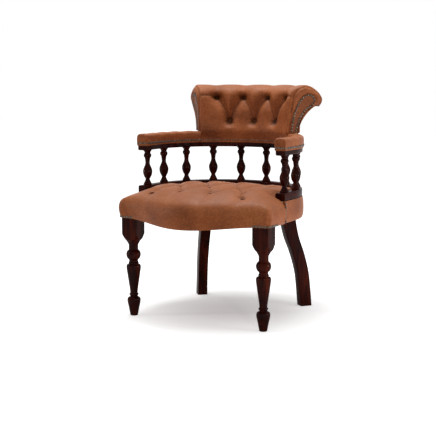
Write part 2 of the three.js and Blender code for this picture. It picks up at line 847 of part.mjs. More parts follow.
function addButtons(name, matrices) {
  matrices.forEach((matrix, k) => {
    addPiece(`${name}_${k + 1}`, makeButton().applyMatrix4(matrix), leather);
  });
}

const seatButtonSpots = seatTufts.map(([x, y]) => (
  new THREE.Matrix4().makeTranslation(x, y, seatHeight(x, y) + buttonHeight / 2)
));

function makeSeatPad() {
  const fineX = between(longRowShares[0], longRowShares.at(-1), 24).map((k) => k * tuftPitch);
  const wide = padSide + padRollReach;
  const xs = [-wide, -(wide + fineX.at(-1)) / 2, ...fineX, (wide + fineX.at(-1)) / 2, wide];
  const fineY = between(-0.5, tuftRows - 0.5, 12).map((k) => tuftRowY + k * tuftRowPitch);
  const front = seatFrontY - padRollReach;
  const rear = bowCentreY + bowOuter;
  const frontRows = between(front, fineY[0], 4).slice(0, -1);
  const rearRows = between(fineY.at(-1), rear, 4).slice(1);
  const top = toSolid(heightBody(xs, [...frontRows, ...fineY, ...rearRows], seatHeight, 0));
  const cover = makePadBody().intersect(top).subtract(frameRoom()).subtract(bowRoom());
  const shaped = cover.add(stuffing());
  return toGeometry(seatButtonSpots.reduce((pad, spot) => pad.subtract(buttonRoom(spot)), shaped));
}

addPiece('seat_pad', makeSeatPad(), leather);
addButtons('seat_button', seatButtonSpots);

// Leather band round the seat frame, under the lower bow. Shares of the padding and height.
const bandShares = [[0.1, 0], [0.9, 0.22], [1, 0.45], [0.8, 0.75], [0, 1]];
const bandSwell = 5;
const bandRise = 2;
const bandBottom = padBottom + bandRise;

function bandSection() {
  const tall = railTop - bandBottom;
  const outer = bandShares.map(([out, up]) => [bowOuter + bandSwell * out, bandBottom + tall * up]);
  const inner = railOuter + fit;
  const points = [[inner, bandBottom], ...outer, [inner, railTop]];
  return points.map(toPoint);
}

function makeBand() {
  const front = bowFrontY + fit;
  const arm = between(0, rearLegAngle - jointGap, 8);
  const back = between(rearLegAngle + jointGap, Math.PI - rearLegAngle - jointGap, 14);
  const arc = [...arm, ...back, ...arm.map((angle) => Math.PI - angle).reverse()].map(arcStation);
  const leftEnd = { origin: [0, front], out: [-1, 0] };
  const strip = toSolid(sweep([straightStation(front), ...arc, leftEnd], bandSection()));
  return toGeometry(strip.subtract(rearLegRoom).subtract(mirrored(rearLegRoom, -1)));
}

addPiece('seat_band', makeBand(), leather);

// Arm pads: soft rounded section pulled over the tongue, with a nose over the bow's front end
function armPadSection(share) {
  const half = (lapOuter - bowRadius) * share;
  const top = backBase + (armPadTop - backBase) * share;
  const round = armPadRound * share;
  const arc = between(0, Math.PI / 2, 4);
  const right = arc.map((a) => [
    half - round + round * Math.cos(a), top - round * 0.8 + round * 0.8 * Math.sin(a),
  ]);
  const left = right.map(([x, z]) => [-x, z]).reverse();
  const points = [[-half, backBase], [half, backBase], ...right, ...left];
  return points.map(([x, z]) => new THREE.Vector2(bowRadius + x, z));
}

const noseShares = [[0, 0.8], [0.35, 0.93], [1, 1]];
function makeArmPad(side) {
  const nose = noseShares.map(([back, size]) => ({
    station: straightStation(bowFrontY - armPadNose + back * armPadNose * 2), size,
  }));
  const rest = sideStations(bowCentreY / 2 + bowFrontY / 2, bowJointAngle - fit / bowRadius, 8);
  const all = [...nose, ...rest.map((station) => ({ station, size: 1 }))];
  const rings = all.map(({ station, size }) => (
    armPadSection(size).map((point) => place(station, point, 1))
  ));
  const body = toSolid(loft(rings, armPadSection(1)));
  const railLine = sideStations(bowFrontY - fit, bowJointAngle + fit / bowRadius, arcSteps);
  const rail = toSolid(sweep(railLine, tongueSection(fit)));
  return toGeometry(mirrored(body.subtract(rail), side));
}

addPiece('arm_pad_left', makeArmPad(-1), leather);
addPiece('arm_pad_right', makeArmPad(1), leather);

// Section of the scrolled back. Shares of the scroll's reach behind the bow's centre line and
// of the height from the lower leather edge to the top. The shares up to lapShare either way
// span the bow with its leather, whatever the scroll's reach.
const lapShare = 0.19;
const backFrontShares = [
  [-0.189, 0], [-0.171, 0.069], [-0.132, 0.174], [-0.11, 0.312], [-0.101, 0.472],
  [-0.083, 0.633], [-0.057, 0.771], [0.009, 0.872], [0.123, 0.938], [0.272, 0.982],
  [0.439, 1], [0.632, 0.977], [0.807, 0.922], [0.947, 0.853], [1, 0.78], [0.965, 0.72],
  [0.86, 0.672],
];
const backRearShares = [
  [0.825, 0.662], [0.658, 0.61], [0.465, 0.514], [0.298, 0.385], [0.22, 0.261], [0.191, 0.151],
  [0.191, 0],
];
const frameFrontShares = [
  [0.04, 0.094], [0.06, 0.22], [0.083, 0.427], [0.114, 0.633], [0.184, 0.757], [0.325, 0.839],
  [0.482, 0.872], [0.658, 0.849], [0.772, 0.784], [0.763, 0.7],
];

function backPoint([out, up]) {
  const overBow = Math.min(Math.max(out, -lapShare), lapShare);
  const beyond = out - overBow;
  return new THREE.Vector2(
    bowRadius + overBow / lapShare * (lapOuter - bowRadius) + beyond * scrollReach,
    backBase + up * backHeight,
  );
}

function smooth(shares, steps) {
  return new THREE.SplineCurve(shares.map(backPoint)).getSpacedPoints(steps);
}

// A polyline moved to its left by a distance
function offsetLine(points, distance) {
  return points.map((point, i) => {
    const before = points[Math.max(i - 1, 0)];
    const after = points[Math.min(i + 1, points.length - 1)];
    const along = after.clone().sub(before).normalize();
    return new THREE.Vector2(point.x - along.y * distance, point.y + along.x * distance);
  });
}

const frontLine = smooth(backFrontShares, 22);
const rearLine = smooth(backRearShares, 8);
const frameFront = smooth(frameFrontShares, 7);
const coverInner = offsetLine(rearLine, -leatherLap);

// The cover's lower end hangs straight down the outside of the bow
function coverSection() {
  return [...rearLine, ...coverInner.slice().reverse()];
}

function padSection(line) {
  const tongue = bowRadius - tongueWidth / 2 - curveFit;
  const tongueTop = upperBowTop + tongueHeight + fit;
  const frame = offsetLine(frameFront, fit).filter((point) => point.y > tongueTop + fit);
  return [
    ...line, ...frame.slice().reverse(), new THREE.Vector2(frame[0].x, tongueTop),
    new THREE.Vector2(tongue, tongueTop), new THREE.Vector2(tongue, upperBowTop + fit),
    new THREE.Vector2(bowInner - curveFit, upperBowTop + fit),
    new THREE.Vector2(bowInner - curveFit, backBase),
  ];
}

// Tufts of the back, placed by angle and by length along the front line
const lineLengths = frontLine.map((_, i) => (
  frontLine.slice(0, i).reduce((sum, point, k) => sum + point.distanceTo(frontLine[k + 1]), 0)
));

function lengthAt(height) {
  const i = frontLine.findIndex((point) => point.y >= height);
  const share = (height - frontLine[i - 1].y) / (frontLine[i].y - frontLine[i - 1].y);
  return lineLengths[i - 1] + (lineLengths[i] - lineLengths[i - 1]) * share;
}

const backRowShares = [0.365, 0.775];
const backMarginShare = 0.25;
const backHalf = Math.PI / 2 - bowJointAngle;
const backPitch = 2 * bowInner * backHalf / (longRowShares.length + backMarginShare);
const lowRow = lengthAt(backBase + backRowShares[0] * backHeight);
const highRow = lengthAt(backBase + backRowShares[1] * backHeight);
const backTufts = [
  ...shortRowShares.map((k) => [k * backPitch, lowRow]),
  ...longRowShares.map((k) => [k * backPitch, highRow]),
];
const backPleats = [
  ...diagonals(backTufts, backPitch, highRow - lowRow),
  ...backTufts.slice(3).map(([x, s]) => [[x, s], [x, lineLengths.at(-3)]]),
];

// The sections of the back stand on the tufts and evenly between them, with one at each end
const ringsToPitch = 6;
const ringAngle = backPitch / ringsToPitch / bowInner;
const ringCount = Math.floor(backHalf / ringAngle);
const innerAngles = between(-ringCount, ringCount, 2 * ringCount).map((k) => (
  Math.PI / 2 + k * ringAngle
));
const backAngles = [Math.PI / 2 - backHalf, ...innerAngles, Math.PI / 2 + backHalf];
const backRings = backAngles.map(arcStation);

// Both ends are rounded over, more so round the scroll than down by the arm pads
function endInset(point, length) {
  const rise = Math.min(Math.max((point.y - armPadTop) / (backHeight / 2), 0), 1);
  const rest = Math.min((lineLengths.at(-1) - length) / (scrollReach / 2), 1);
  return backEndRound * rise * rest;
}

function tuftedLine(angle) {
  const across = (Math.PI / 2 - angle) * bowInner;
  const isEnd = Math.abs(across) > bowInner * backHalf - fit;
  return frontLine.map((point, i) => {
    const before = frontLine[Math.max(i - 1, 0)];
    const after = frontLine[Math.min(i + 1, frontLine.length - 1)];
    const along = after.clone().sub(before).normalize();
    const depth = sunk(
      [across, lineLengths[i]], backTufts, backPleats,
      backTuftDepth, backTuftSpread, backPleatDepth, backPleatSpread,
    ) + (isEnd ? endInset(point, lineLengths[i]) : 0);
    return new THREE.Vector2(point.x + along.y * depth, point.y - along.x * depth);
  });
}

const uprightAngle = uprightThickness / bowRadius;
const pastBack = [
  backAngles[0] - uprightAngle, ...backAngles, backAngles.at(-1) + uprightAngle,
].map(arcStation);
const topRailSpot = backPoint([0.5, 0.745]);
function topRailSection(gap) {
  const radius = topRailRadius + gap;
  return between(0, 2 * Math.PI, 8).slice(1).map((a) => new THREE.Vector2(
    topRailSpot.x + radius * Math.cos(a), topRailSpot.y + radius * Math.sin(a),
  ));
}

function frameSection() {
  const foot = upperBowTop + tongueHeight + fit;
  const heel = bowRadius + tongueWidth / 2;
  const front = frameFront.filter((point) => point.y > foot + fit);
  const rear = offsetLine(rearLine, -leatherLap - 2 * curveFit).filter((point) => (
    point.y > front[0].y && point.x < front.at(-1).x
  ));
  return [
    new THREE.Vector2(front[0].x, foot), ...front, ...rear, new THREE.Vector2(heel, foot),
  ];
}

function makeUpright(middle) {
  const arc = between(middle - uprightAngle / 2, middle + uprightAngle / 2, 1);
  const rail = toSolid(sweep(pastBack, topRailSection(fit)));
  return toSolid(sweep(arc.map(arcStation), frameSection())).subtract(rail);
}

function endAngle() {
  return Math.PI / 2 - backHalf + uprightAngle / 2;
}

function backButtonMatrix([across, length]) {
  const angle = Math.PI / 2 - across / bowInner;
  const line = tuftedLine(angle);
  const i = lineLengths.findIndex((value) => value >= length);
  const share = (length - lineLengths[i - 1]) / (lineLengths[i] - lineLengths[i - 1]);
  const point = line[i - 1].clone().lerp(line[i], share);
  const along = line[i].clone().sub(line[i - 1]).normalize();
  const out = new THREE.Vector3(Math.cos(angle), Math.sin(angle), 0);
  const normal = out.clone().multiplyScalar(-along.y).setZ(along.x);
  const spot = place(arcStation(angle), point, 1).addScaledVector(normal, buttonHeight / 2);
  const turn = new THREE.Quaternion().setFromUnitVectors(new THREE.Vector3(0, 0, 1), normal);
  return new THREE.Matrix4().compose(spot, turn, new THREE.Vector3(1, 1, 1));
}

const backButtonSpots = backTufts.map(backButtonMatrix);

function makeBackPad() {
  const rings = backAngles.map((angle) => (
    padSection(tuftedLine(angle)).map((point) => place(arcStation(angle), point, 1))
  ));
  const body = toSolid(loft(rings, padSection(tuftedLine(backAngles[0]))));
  return toGeometry(backButtonSpots.reduce((pad, spot) => pad.subtract(buttonRoom(spot)), body));
}

addPiece('back_pad', makeBackPad(), leather);
addButtons('back_button', backButtonSpots);
addPiece('back_cover', sweep(backRings, coverSection()), leather);
addPiece('back_upright_left', toGeometry(mirrored(makeUpright(endAngle()), -1)), beech);
addPiece('back_upright_right', toGeometry(makeUpright(endAngle())), beech);
addPiece('back_top_rail', sweep(backRings, topRailSection(0)), beech);

// Facings: leather over each end of the back, above the arm pads, and on it a raised panel that
// the nails hold. The panel's points are shares of the scroll's reach and of the back's height.
const facingPanelShares = [
  [-0.096, 0.22], [-0.048, 0.391], [0.003, 0.511], [0.105, 0.647], [0.211, 0.742], [0.318, 0.811],
  [0.43, 0.846], [0.549, 0.863], [0.654, 0.844], [0.733, 0.806], [0.779, 0.75], [0.736, 0.687],
  [0.646, 0.643], [0.54, 0.609], [0.46, 0.578], [0.378, 0.53], [0.297, 0.467], [0.232, 0.394],
  [0.185, 0.314], [0.135, 0.216],
];

// A plate on the end of the back, between two distances from it
function endPlate(points, foot, near, far, side) {
  const above = points.filter((point) => point.y > foot + facingEdge);
  const outline = [
    new THREE.Vector2(above[0].x, foot), ...above, new THREE.Vector2(above.at(-1).x, foot),
  ];
  const along = new THREE.Vector3(Math.sin(bowJointAngle), -Math.cos(bowJointAngle), 0);
  const rings = [near, far].map((gap) => outline.map((point) => {
    const spot = place(arcStation(bowJointAngle), point, 1).addScaledVector(along, gap);
    return new THREE.Vector3(side * spot.x, spot.y, spot.z);
  }));
  return toSolid(loft(rings, outline));
}

function makeFacing(side) {
  const front = offsetLine(tuftedLine(backAngles[0]), -facingEdge);
  const face = [...front.slice(0, -1), ...coverInner.slice(1)];
  const foot = armPadTop + 2 * fit;
  const top = fit + facingThickness;
  const cover = endPlate(face, foot, fit, top, side);
  const panelTop = top + facingPanelThickness;
  const panel = endPlate(facingPanelShares.map(backPoint), foot, fit, panelTop, side);
  return toGeometry(cover.add(panel));
}

addPiece('back_facing_left', makeFacing(-1), leather);
addPiece('back_facing_right', makeFacing(1), leather);

// The origin is under the middle of the chair's box, on the floor
const box = new THREE.Box3().setFromObject(group);
const middle = box.getCenter(new THREE.Vector3());
group.position.set(-middle.x, -middle.y, -box.min.z);
group.updateMatrixWorld(true);

export default group;
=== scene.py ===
# Captain's chair in dark polished wood and tan leather: a buttoned seat and a scrolled,
# buttoned back, set on a studio floor. Metres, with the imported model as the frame.
import math
import bmesh
import bpy
import numpy as np
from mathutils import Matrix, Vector


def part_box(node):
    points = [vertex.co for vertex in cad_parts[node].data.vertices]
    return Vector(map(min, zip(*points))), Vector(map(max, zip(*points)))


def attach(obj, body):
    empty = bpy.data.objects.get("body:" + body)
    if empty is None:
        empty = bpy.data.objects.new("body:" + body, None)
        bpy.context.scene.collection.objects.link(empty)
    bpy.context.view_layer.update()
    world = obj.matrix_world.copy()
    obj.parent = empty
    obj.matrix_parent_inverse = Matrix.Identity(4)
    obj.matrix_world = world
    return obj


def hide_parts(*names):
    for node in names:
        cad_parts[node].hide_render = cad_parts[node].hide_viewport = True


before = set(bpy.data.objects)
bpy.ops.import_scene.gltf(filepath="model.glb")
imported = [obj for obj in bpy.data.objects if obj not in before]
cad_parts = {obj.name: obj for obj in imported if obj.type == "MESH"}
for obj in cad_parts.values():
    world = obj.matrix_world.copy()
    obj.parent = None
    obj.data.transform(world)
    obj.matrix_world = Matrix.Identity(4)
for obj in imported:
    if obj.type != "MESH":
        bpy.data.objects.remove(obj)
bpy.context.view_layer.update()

MM = 0.001

# Camera: where it stands, the way it looks, and its lens
CAMERA_PLACE = Vector((1.7447, -3.3613, 0.8639))
CAMERA_BACK = Vector((0.46327, -0.87571, 0.13606))
CAMERA_LENS = 86.41
CAMERA_SENSOR = 36.0

# Bows, from the frame
LOWER_LOW, LOWER_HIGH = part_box("lower_bow_right")
UPPER_LOW, UPPER_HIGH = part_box("upper_bow_right")
BOW_OUTER = LOWER_HIGH.x
BOW_WIDTH = 36 * MM
BOW_RADIUS = BOW_OUTER - BOW_WIDTH / 2
BOW_INNER = BOW_OUTER - BOW_WIDTH
BOW_FRONT = LOWER_LOW.y
CENTRE_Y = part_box("lower_bow_back")[1].y - BOW_OUTER
BOW_EDGE = 5 * MM
BOW_BEVEL = 1.2 * MM
TONGUE_WIDTH = 30 * MM
TONGUE_HEIGHT = 10 * MM
UPPER_SHOULDER = UPPER_HIGH.z - TONGUE_HEIGHT
JOINT_ANGLE = math.pi / 4
JOINT_GAP = 0.15 * MM / BOW_RADIUS
CLEAR = 0.3 * MM
SIDES = (("left", -1), ("right", 1))

# Legs
LEG_LOW, LEG_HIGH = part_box("front_leg_right")
LEG_X = (LEG_LOW.x + LEG_HIGH.x) / 2
LEG_Y = (LEG_LOW.y + LEG_HIGH.y) / 2
LEG_HALF = (LEG_HIGH.x - LEG_LOW.x) / 2
TURNED_RADIUS = 26.2 * MM
POMMEL_LOW = 259 * MM
POMMEL_HIGH = 301 * MM
LEG_ANGLE = math.radians(49.5)
REAR_TOP_RADIUS = BOW_RADIUS - 13 * MM
REAR_FOOT_RADIUS = REAR_TOP_RADIUS + 78.5 * MM
REAR_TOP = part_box("rear_leg_right")[1].z
LEG_OUTWARD = np.array([math.cos(LEG_ANGLE), math.sin(LEG_ANGLE), 0])
LEG_ACROSS = np.array([-LEG_OUTWARD[1], LEG_OUTWARD[0], 0])

# Upholstery
LEATHER = 6 * MM
LAP = 3.5 * MM
LAP_REACH = BOW_WIDTH / 2 + LAP + CLEAR
PAD_LOW = LOWER_LOW.z - 77 * MM
PAD_CROWN = LOWER_HIGH.z + 20 * MM
PAD_ROLL = 34 * MM
PAD_CORNER = 16 * MM
PAD_CORNER_SOFTENING = 0.8
PAD_CORNER_SWELL = 0.6
FRONT_BULGE = 80 * MM
FRONT_DIP = 15 * MM
BACK_BASE = UPPER_SHOULDER - 10 * MM
ARM_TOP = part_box("arm_pad_right")[1].z
BACK_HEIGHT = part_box("back_pad")[1].z - BACK_BASE
SCROLL_REACH = 114 * MM
NAIL_RADIUS = 4.6 * MM
NAIL_HEIGHT = 2.6 * MM
NAIL_SPACING = 10.6 * MM


# Shapes
def smooth_line(points, steps):
    """A Catmull-Rom line through the points, with so many steps to each stretch."""
    pts = np.array(points, float)
    pts = np.vstack([2 * pts[0] - pts[1], pts, 2 * pts[-1] - pts[-2]])
    out = []
    for a, b, c, d in zip(pts[:-3], pts[1:-2], pts[2:-1], pts[3:]):
        for t in np.linspace(0, 1, steps, endpoint=False):
            out.append(0.5 * (2 * b + (c - a) * t + (2 * a - 5 * b + 4 * c - d) * t ** 2
                              + (3 * b - a - 3 * c + d) * t ** 3))
    out.append(pts[-2])
    return np.array(out)


def even_line(points, steps):
    """The same line at evenly spaced points."""
    line = smooth_line(points, 12)
    gaps = np.linalg.norm(np.diff(line, axis=0), axis=1)
    travelled = np.concatenate([[0], np.cumsum(gaps)])
    wanted = np.linspace(0, travelled[-1], steps + 1)
    return np.stack([np.interp(wanted, travelled, line[:, i]) for i in range(line.shape[1])], -1)


def normals_2d(line):
    """The unit vector to the left of each point of a line."""
    along = np.gradient(line, axis=0)
    along /= np.linalg.norm(along, axis=1)[:, None]
    return np.stack([-along[:, 1], along[:, 0]], -1)


class Station:
    """A place on the U of the bows, from which sections are laid out."""

    def __init__(self, origin, out, travel):
        self.origin = np.array([*origin, 0.0])
        self.out = np.array([*out, 0.0])
        self.travel = travel

    def place(self, section, side=1):
        """Section points are (distance out, height)."""
        points = self.origin + section[:, :1] * self.out + section[:, 1:] * np.array([0, 0, 1])
        return points * np.array([side, 1, 1])

    def point(self, out, height):
        return self.place(np.array([(out, height)]))[0]


def arc_station(angle):
    return Station((0, CENTRE_Y), (math.cos(angle), math.sin(angle)), BOW_RADIUS * angle)


def straight_station(y):
    return Station((0, y), (1, 0), y - CENTRE_Y)


def arm_stations(front, end_angle, steps):
    straight = [straight_station(y) for y in np.linspace(front, CENTRE_Y, 8)[:-1]]
    return straight + [arc_station(a) for a in np.linspace(0, end_angle, steps)]


def back_stations(start_angle, steps):
    return [arc_station(a) for a in np.linspace(start_angle, math.pi - start_angle, steps)]


def loft(rings):
    """Points and faces of a closed body through rings of points."""
    rings = np.array(rings)
    count = rings.shape[1]
    faces = []
    for k in range(len(rings) - 1):
        for i in range(count):
            j = (i + 1) % count
            faces.append((k * count + i, k * count + j, (k + 1) * count + j, (k + 1) * count + i))
    last = (len(rings) - 1) * count
    faces.append(tuple(range(count))[::-1])
    faces.append(tuple(range(last, last + count)))
    return rings.reshape(-1, 3), faces


def loft_round(section, stations):
    """A body round the whole U, from the right-hand stations and their mirror images."""
    right = [s.place(section) for s in stations]
    left = [s.place(section, -1) for s in stations[::-1]][1:]
    return loft(right + left)


def lathe(profile, x, y, sides):
    """Points and faces of a turning: the profile runs up from the axis and back to it."""
    angles = np.linspace(0, 2 * math.pi, sides, endpoint=False)
    rings = [[(x + r * math.cos(a), y + r * math.sin(a), z) for a in angles] for r, z in profile]
    return loft(rings)


def add_object(name, data):
    item = bpy.data.objects.new(name, data)
    bpy.context.scene.collection.objects.link(item)
    return item


def make_piece(name, body, material, replaced, sharp, bevel=0, fields=None):
    """A named piece with its material and the nodes that it stands for."""
    points, faces = body
    mesh = bpy.data.meshes.new(name)
    mesh.from_pydata([tuple(p) for p in points], [], faces)
    mesh.validate()
    face_outwards(mesh)
    for field, values in (fields or {}).items():
        kind = "FLOAT_VECTOR" if np.ndim(values) == 2 else "FLOAT"
        attribute = mesh.attributes.new(field, kind, "POINT")
        attribute.data.foreach_set("vector" if kind == "FLOAT_VECTOR" else "value", np.ravel(values))
    mesh.shade_smooth()
    mesh.set_sharp_from_angle(angle=math.radians(sharp))
    mesh.materials.append(material)
    piece = add_object(name, mesh)
    if bevel:
        edge = piece.modifiers.new("eased edges", "BEVEL")
        edge.width = bevel
        edge.segments = 3
        edge.limit_method = "ANGLE"
        edge.angle_limit = math.radians(40)
        edge.harden_normals = True
    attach(piece, "root")
    if replaced:
        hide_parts(*replaced)
    return piece


def make_wooden(name, body, node, sharp, along, bevel=0):
    """A polished piece, with the grain's coordinates at its points."""
    return make_piece(name, body, WOOD, [node], sharp, bevel, {"along": along})


def make_leather(name, body, nodes, sharp, painted_shade=None):
    """A leather piece, darkened by painted shade where the given field is high."""
    fields = None if painted_shade is None else {"painted_shade": painted_shade}
    return make_piece(name, body, HIDE, nodes, sharp, 0, fields)


def face_outwards(mesh):
    work = bmesh.new()
    work.from_mesh(mesh)
    bmesh.ops.recalc_face_normals(work, faces=work.faces)
    if work.calc_volume(signed=True) < 0:
        bmesh.ops.reverse_faces(work, faces=work.faces)
    work.to_mesh(mesh)
    work.free()


# Materials
class Tree:
    """A node tree, with short ways to add and link its nodes."""

    def __init__(self, tree):
        self.nodes = tree.nodes
        self.links = tree.links

    def feed(self, socket, value):
        """Links another node's output to a socket, or gives it a number, a name or a colour."""
        if isinstance(value, bpy.types.NodeSocket):
            self.links.new(value, socket)
        else:
            socket.default_value = (*value, 1) if isinstance(value, tuple) else value

    def feed_all(self, node, values):
        """Feeds the inputs with these titles, which have _ for their spaces."""
        for title, value in values.items():
            self.feed(node.inputs[title.replace("_", " ")], value)
        return node

    def add(self, kind, **values):
        return self.feed_all(self.nodes.new(kind), values)

    def attribute(self, name):
        node = self.nodes.new("ShaderNodeAttribute")
        node.attribute_name = name
        return node.outputs

    def place(self):
        return self.nodes.new("ShaderNodeTexCoord").outputs["Object"]

    def ramp(self, value, *stops):
        ramp = self.add("ShaderNodeValToRGB", Fac=value)
        elements = ramp.color_ramp.elements
        while len(elements) < len(stops):
            elements.new(0.5)
        for element, (place, colour) in zip(elements, stops):
            element.position = place
            element.color = (*colour, 1)
        return ramp.outputs["Color"]

    def noise(self, vector, scale, detail, rough, distortion=0):
        return self.add("ShaderNodeTexNoise", Vector=vector, Scale=scale, Detail=detail,
                        Roughness=rough, Distortion=distortion).outputs["Fac"]

    def stretch(self, vector, scale):
        mapping = self.add("ShaderNodeMapping", Vector=vector)
        mapping.inputs["Scale"].default_value = scale
        return mapping.outputs["Vector"]

    def math(self, operation, a, b):
        node = self.nodes.new("ShaderNodeMath")
        node.operation = operation
        for socket, value in zip(node.inputs, (a, b)):
            self.feed(socket, value)
        return node.outputs["Value"]

    def span(self, value, low, high):
        """From low where the value is 0 to high where it is 1."""
        return self.add("ShaderNodeMapRange", Value=value, To_Min=low, To_Max=high).outputs["Result"]

    def mix(self, factor, a, b, blend="MIX"):
        node = self.nodes.new("ShaderNodeMix")
        node.data_type = "RGBA"
        node.blend_type = blend
        inputs = {s.identifier: s for s in node.inputs}
        for title, value in (("Factor_Float", factor), ("A_Color", a), ("B_Color", b)):
            self.feed(inputs[title], value)
        return {s.identifier: s for s in node.outputs}["Result_Color"]

    def bump(self, height, strength, distance):
        return self.add("ShaderNodeBump", Height=height, Strength=strength,
                        Distance=distance).outputs["Normal"]


class Look(Tree):
    """A material and its node tree."""

    def __init__(self, name):
        self.material = bpy.data.materials.new(name)
        self.material.use_nodes = True
        super().__init__(self.material.node_tree)

    def surface(self, **values):
        self.feed_all(self.nodes["Principled BSDF"], values)
        return self.material


def polished_wood():
    """Dark red-brown mahogany under clear lacquer, its grain along each piece."""
    look = Look("polished_mahogany")
    along = look.attribute("along")["Vector"]
    figure = look.noise(look.stretch(along, (5, 45, 45)), 1, 6, 0.6, 0.6)
    pores = look.noise(look.stretch(along, (30, 700, 700)), 1, 3, 0.6)
    colour = look.ramp(figure, (0.30, (0.0070, 0.0007, 0.0002)), (0.5, (0.026, 0.0020, 0.0004)),
                       (0.70, (0.080, 0.0085, 0.0012)))
    dark = look.ramp(pores, (0.30, (0.45, 0.45, 0.45)), (0.48, (1, 1, 1)))
    return look.surface(Base_Color=look.mix(0.8, colour, dark, "MULTIPLY"),
                        Roughness=look.span(figure, 0.20, 0.34), IOR=1.05, Coat_Weight=0.08,
                        Coat_Roughness=0.10, Normal=look.bump(pores, 0.10, 0.15 * MM))


def tan_leather():
    """Semi-matte aniline leather: fine pebbled grain, soft mottling, painted light that makes it
    lighter where it faces up, and painted shade that makes it darker in its folds, pits and creases."""
    look = Look("tan_leather")
    place = look.place()
    mottle = look.noise(place, 11, 5, 0.55)
    blotch = look.noise(place, 130, 5, 0.7)
    patches = look.math("ADD", look.math("MULTIPLY", mottle, 0.5), look.math("MULTIPLY", blotch, 0.5))
    colour = look.ramp(patches, (0.36, (0.170, 0.043, 0.0110)), (0.50, (0.290, 0.079, 0.0220)),
                       (0.64, (0.410, 0.126, 0.0410)))
    normal = look.nodes.new("ShaderNodeNewGeometry").outputs["Normal"]
    up = look.add("ShaderNodeSeparateXYZ", Vector=normal).outputs["Z"]
    # Painted light: paler where the surface faces up, patchy with the blotches.
    painted_top_light = look.math("MULTIPLY", look.span(up, 0.0, 0.55), look.span(blotch, 0.6, 1.3))
    tone = look.mix(painted_top_light, colour, (0.37, 0.152, 0.077))
    # Painted shade: darker where the mesh's field of painted shade is high, in its folds, pits and creases.
    fold_shade = look.math("MULTIPLY", look.attribute("painted_shade")["Fac"], 0.85)
    tone = look.mix(fold_shade, tone, (0.030, 0.0080, 0.0022))
    pebble = look.nodes.new("ShaderNodeTexVoronoi")
    pebble.feature = "SMOOTH_F1"
    look.feed_all(pebble, {"Scale": 620, "Smoothness": 0.6, "Vector": place})
    pebbles = pebble.outputs["Distance"]
    grain = look.noise(place, 240, 5, 0.6)
    speckle = look.math("MULTIPLY", look.span(pebbles, 0.88, 1.1), grain)
    height = look.math("ADD", look.math("MULTIPLY", pebbles, 0.7), look.math("MULTIPLY", grain, 0.6))
    return look.surface(Base_Color=tone, Roughness=look.span(speckle, 0.40, 0.62), IOR=1.24,
                        Normal=look.bump(height, 0.35, 0.5 * MM))


def antique_nail():
    look = Look("antique_nail")
    tarnish = look.noise(look.place(), 140, 4, 0.6)
    colour = look.ramp(tarnish, (0.35, (0.034, 0.024, 0.017)), (0.65, (0.15, 0.122, 0.097)))
    return look.surface(Base_Color=colour, Metallic=0.9, Roughness=look.span(tarnish, 0.28, 0.5))


def sawn_beech():
    look = Look("sawn_beech")
    figure = look.noise(look.stretch(look.place(), (14, 90, 90)), 1, 5, 0.6)
    colour = look.ramp(figure, (0.3, (0.38, 0.22, 0.11)), (0.7, (0.62, 0.42, 0.25)))
    return look.surface(Base_Color=colour, Roughness=look.span(figure, 0.6, 0.8),
                        Normal=look.bump(figure, 0.2, 0.4 * MM))


def woven_cloth(name, dark, light, fineness):
    """Plain weave of crossed threads, thinner with more fineness."""
    look = Look(name)
    place = look.place()
    waves = []
    for axis in ("X", "Y"):
        wave = look.add("ShaderNodeTexWave", Vector=place, Scale=fineness, Distortion=0.6)
        wave.bands_direction = axis
        waves.append(wave.outputs["Fac"])
    weave = look.math("MULTIPLY", *waves)
    return look.surface(Base_Color=look.ramp(weave, (0.0, dark), (0.6, light)),
                        Roughness=look.span(weave, 0.8, 0.95), Normal=look.bump(weave, 0.4, 0.5 * MM))


WOOD = polished_wood()
HIDE = tan_leather()
NAIL = antique_nail()
BEECH = sawn_beech()
JUTE = woven_cloth("jute_webbing", (0.10, 0.07, 0.035), (0.30, 0.23, 0.13), 110)
CAMBRIC = woven_cloth("black_cambric", (0.006, 0.006, 0.006), (0.022, 0.022, 0.022), 320)

for node_name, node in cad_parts.items():
    hidden = {"seat_webbing": JUTE, "dust_cover": CAMBRIC}.get(node_name, BEECH)
    node.data.materials.clear()
    node.data.materials.append(hidden)


# Bows
def round_corner(x, z, start):
    """Points round a rail's edge, from the corner of its section and the angle they start at."""
    cx = x + BOW_EDGE * (1 if x == BOW_INNER else -1)
    cz = z + BOW_EDGE * (1 if start >= 180 else -1)
    turns = np.radians(np.linspace(start, start + 90, 6))
    return [(cx + BOW_EDGE * math.cos(turn), cz + BOW_EDGE * math.sin(turn)) for turn in turns]


def rounded_rail(low, high):
    """The lower bow's section, with its four long edges rounded."""
    corners = ((BOW_INNER, low, 180), (BOW_OUTER, low, 270), (BOW_OUTER, high, 0),
               (BOW_INNER, high, 90))
    return np.array([point for corner in corners for point in round_corner(*corner)])


def tongued_rail():
    """The arm rail's section: rounded below, with a tongue that the padding is pulled over."""
    half = TONGUE_WIDTH / 2
    rounded = round_corner(BOW_INNER, UPPER_LOW.z, 180) + round_corner(BOW_OUTER, UPPER_LOW.z, 270)
    return np.array(rounded + [
        (BOW_OUTER, UPPER_SHOULDER), (BOW_RADIUS + half, UPPER_SHOULDER), (BOW_RADIUS + half, UPPER_HIGH.z),
        (BOW_RADIUS - half, UPPER_HIGH.z), (BOW_RADIUS - half, UPPER_SHOULDER),
        (BOW_INNER, UPPER_SHOULDER)])


def along_field(stations, section, side=1):
    """Grain coordinates: how far along the piece, then across and up its section."""
    return np.concatenate([
        np.column_stack([np.full(len(section), s.travel), section[:, 0], section[:, 1] + side])
        for s in stations])


def make_bow(name, section):
    arms = arm_stations(BOW_FRONT, JOINT_ANGLE - JOINT_GAP, 40)
    back = back_stations(JOINT_ANGLE + JOINT_GAP, 90)
    for part, stations, side in (("left", arms, -1), ("right", arms, 1), ("back", back, 1)):
        body = loft([s.place(section, side) for s in stations])
        make_wooden(f"{name}_{part}_polished", body, f"{name}_{part}", 50,
                    along_field(stations, section, side), BOW_BEVEL)


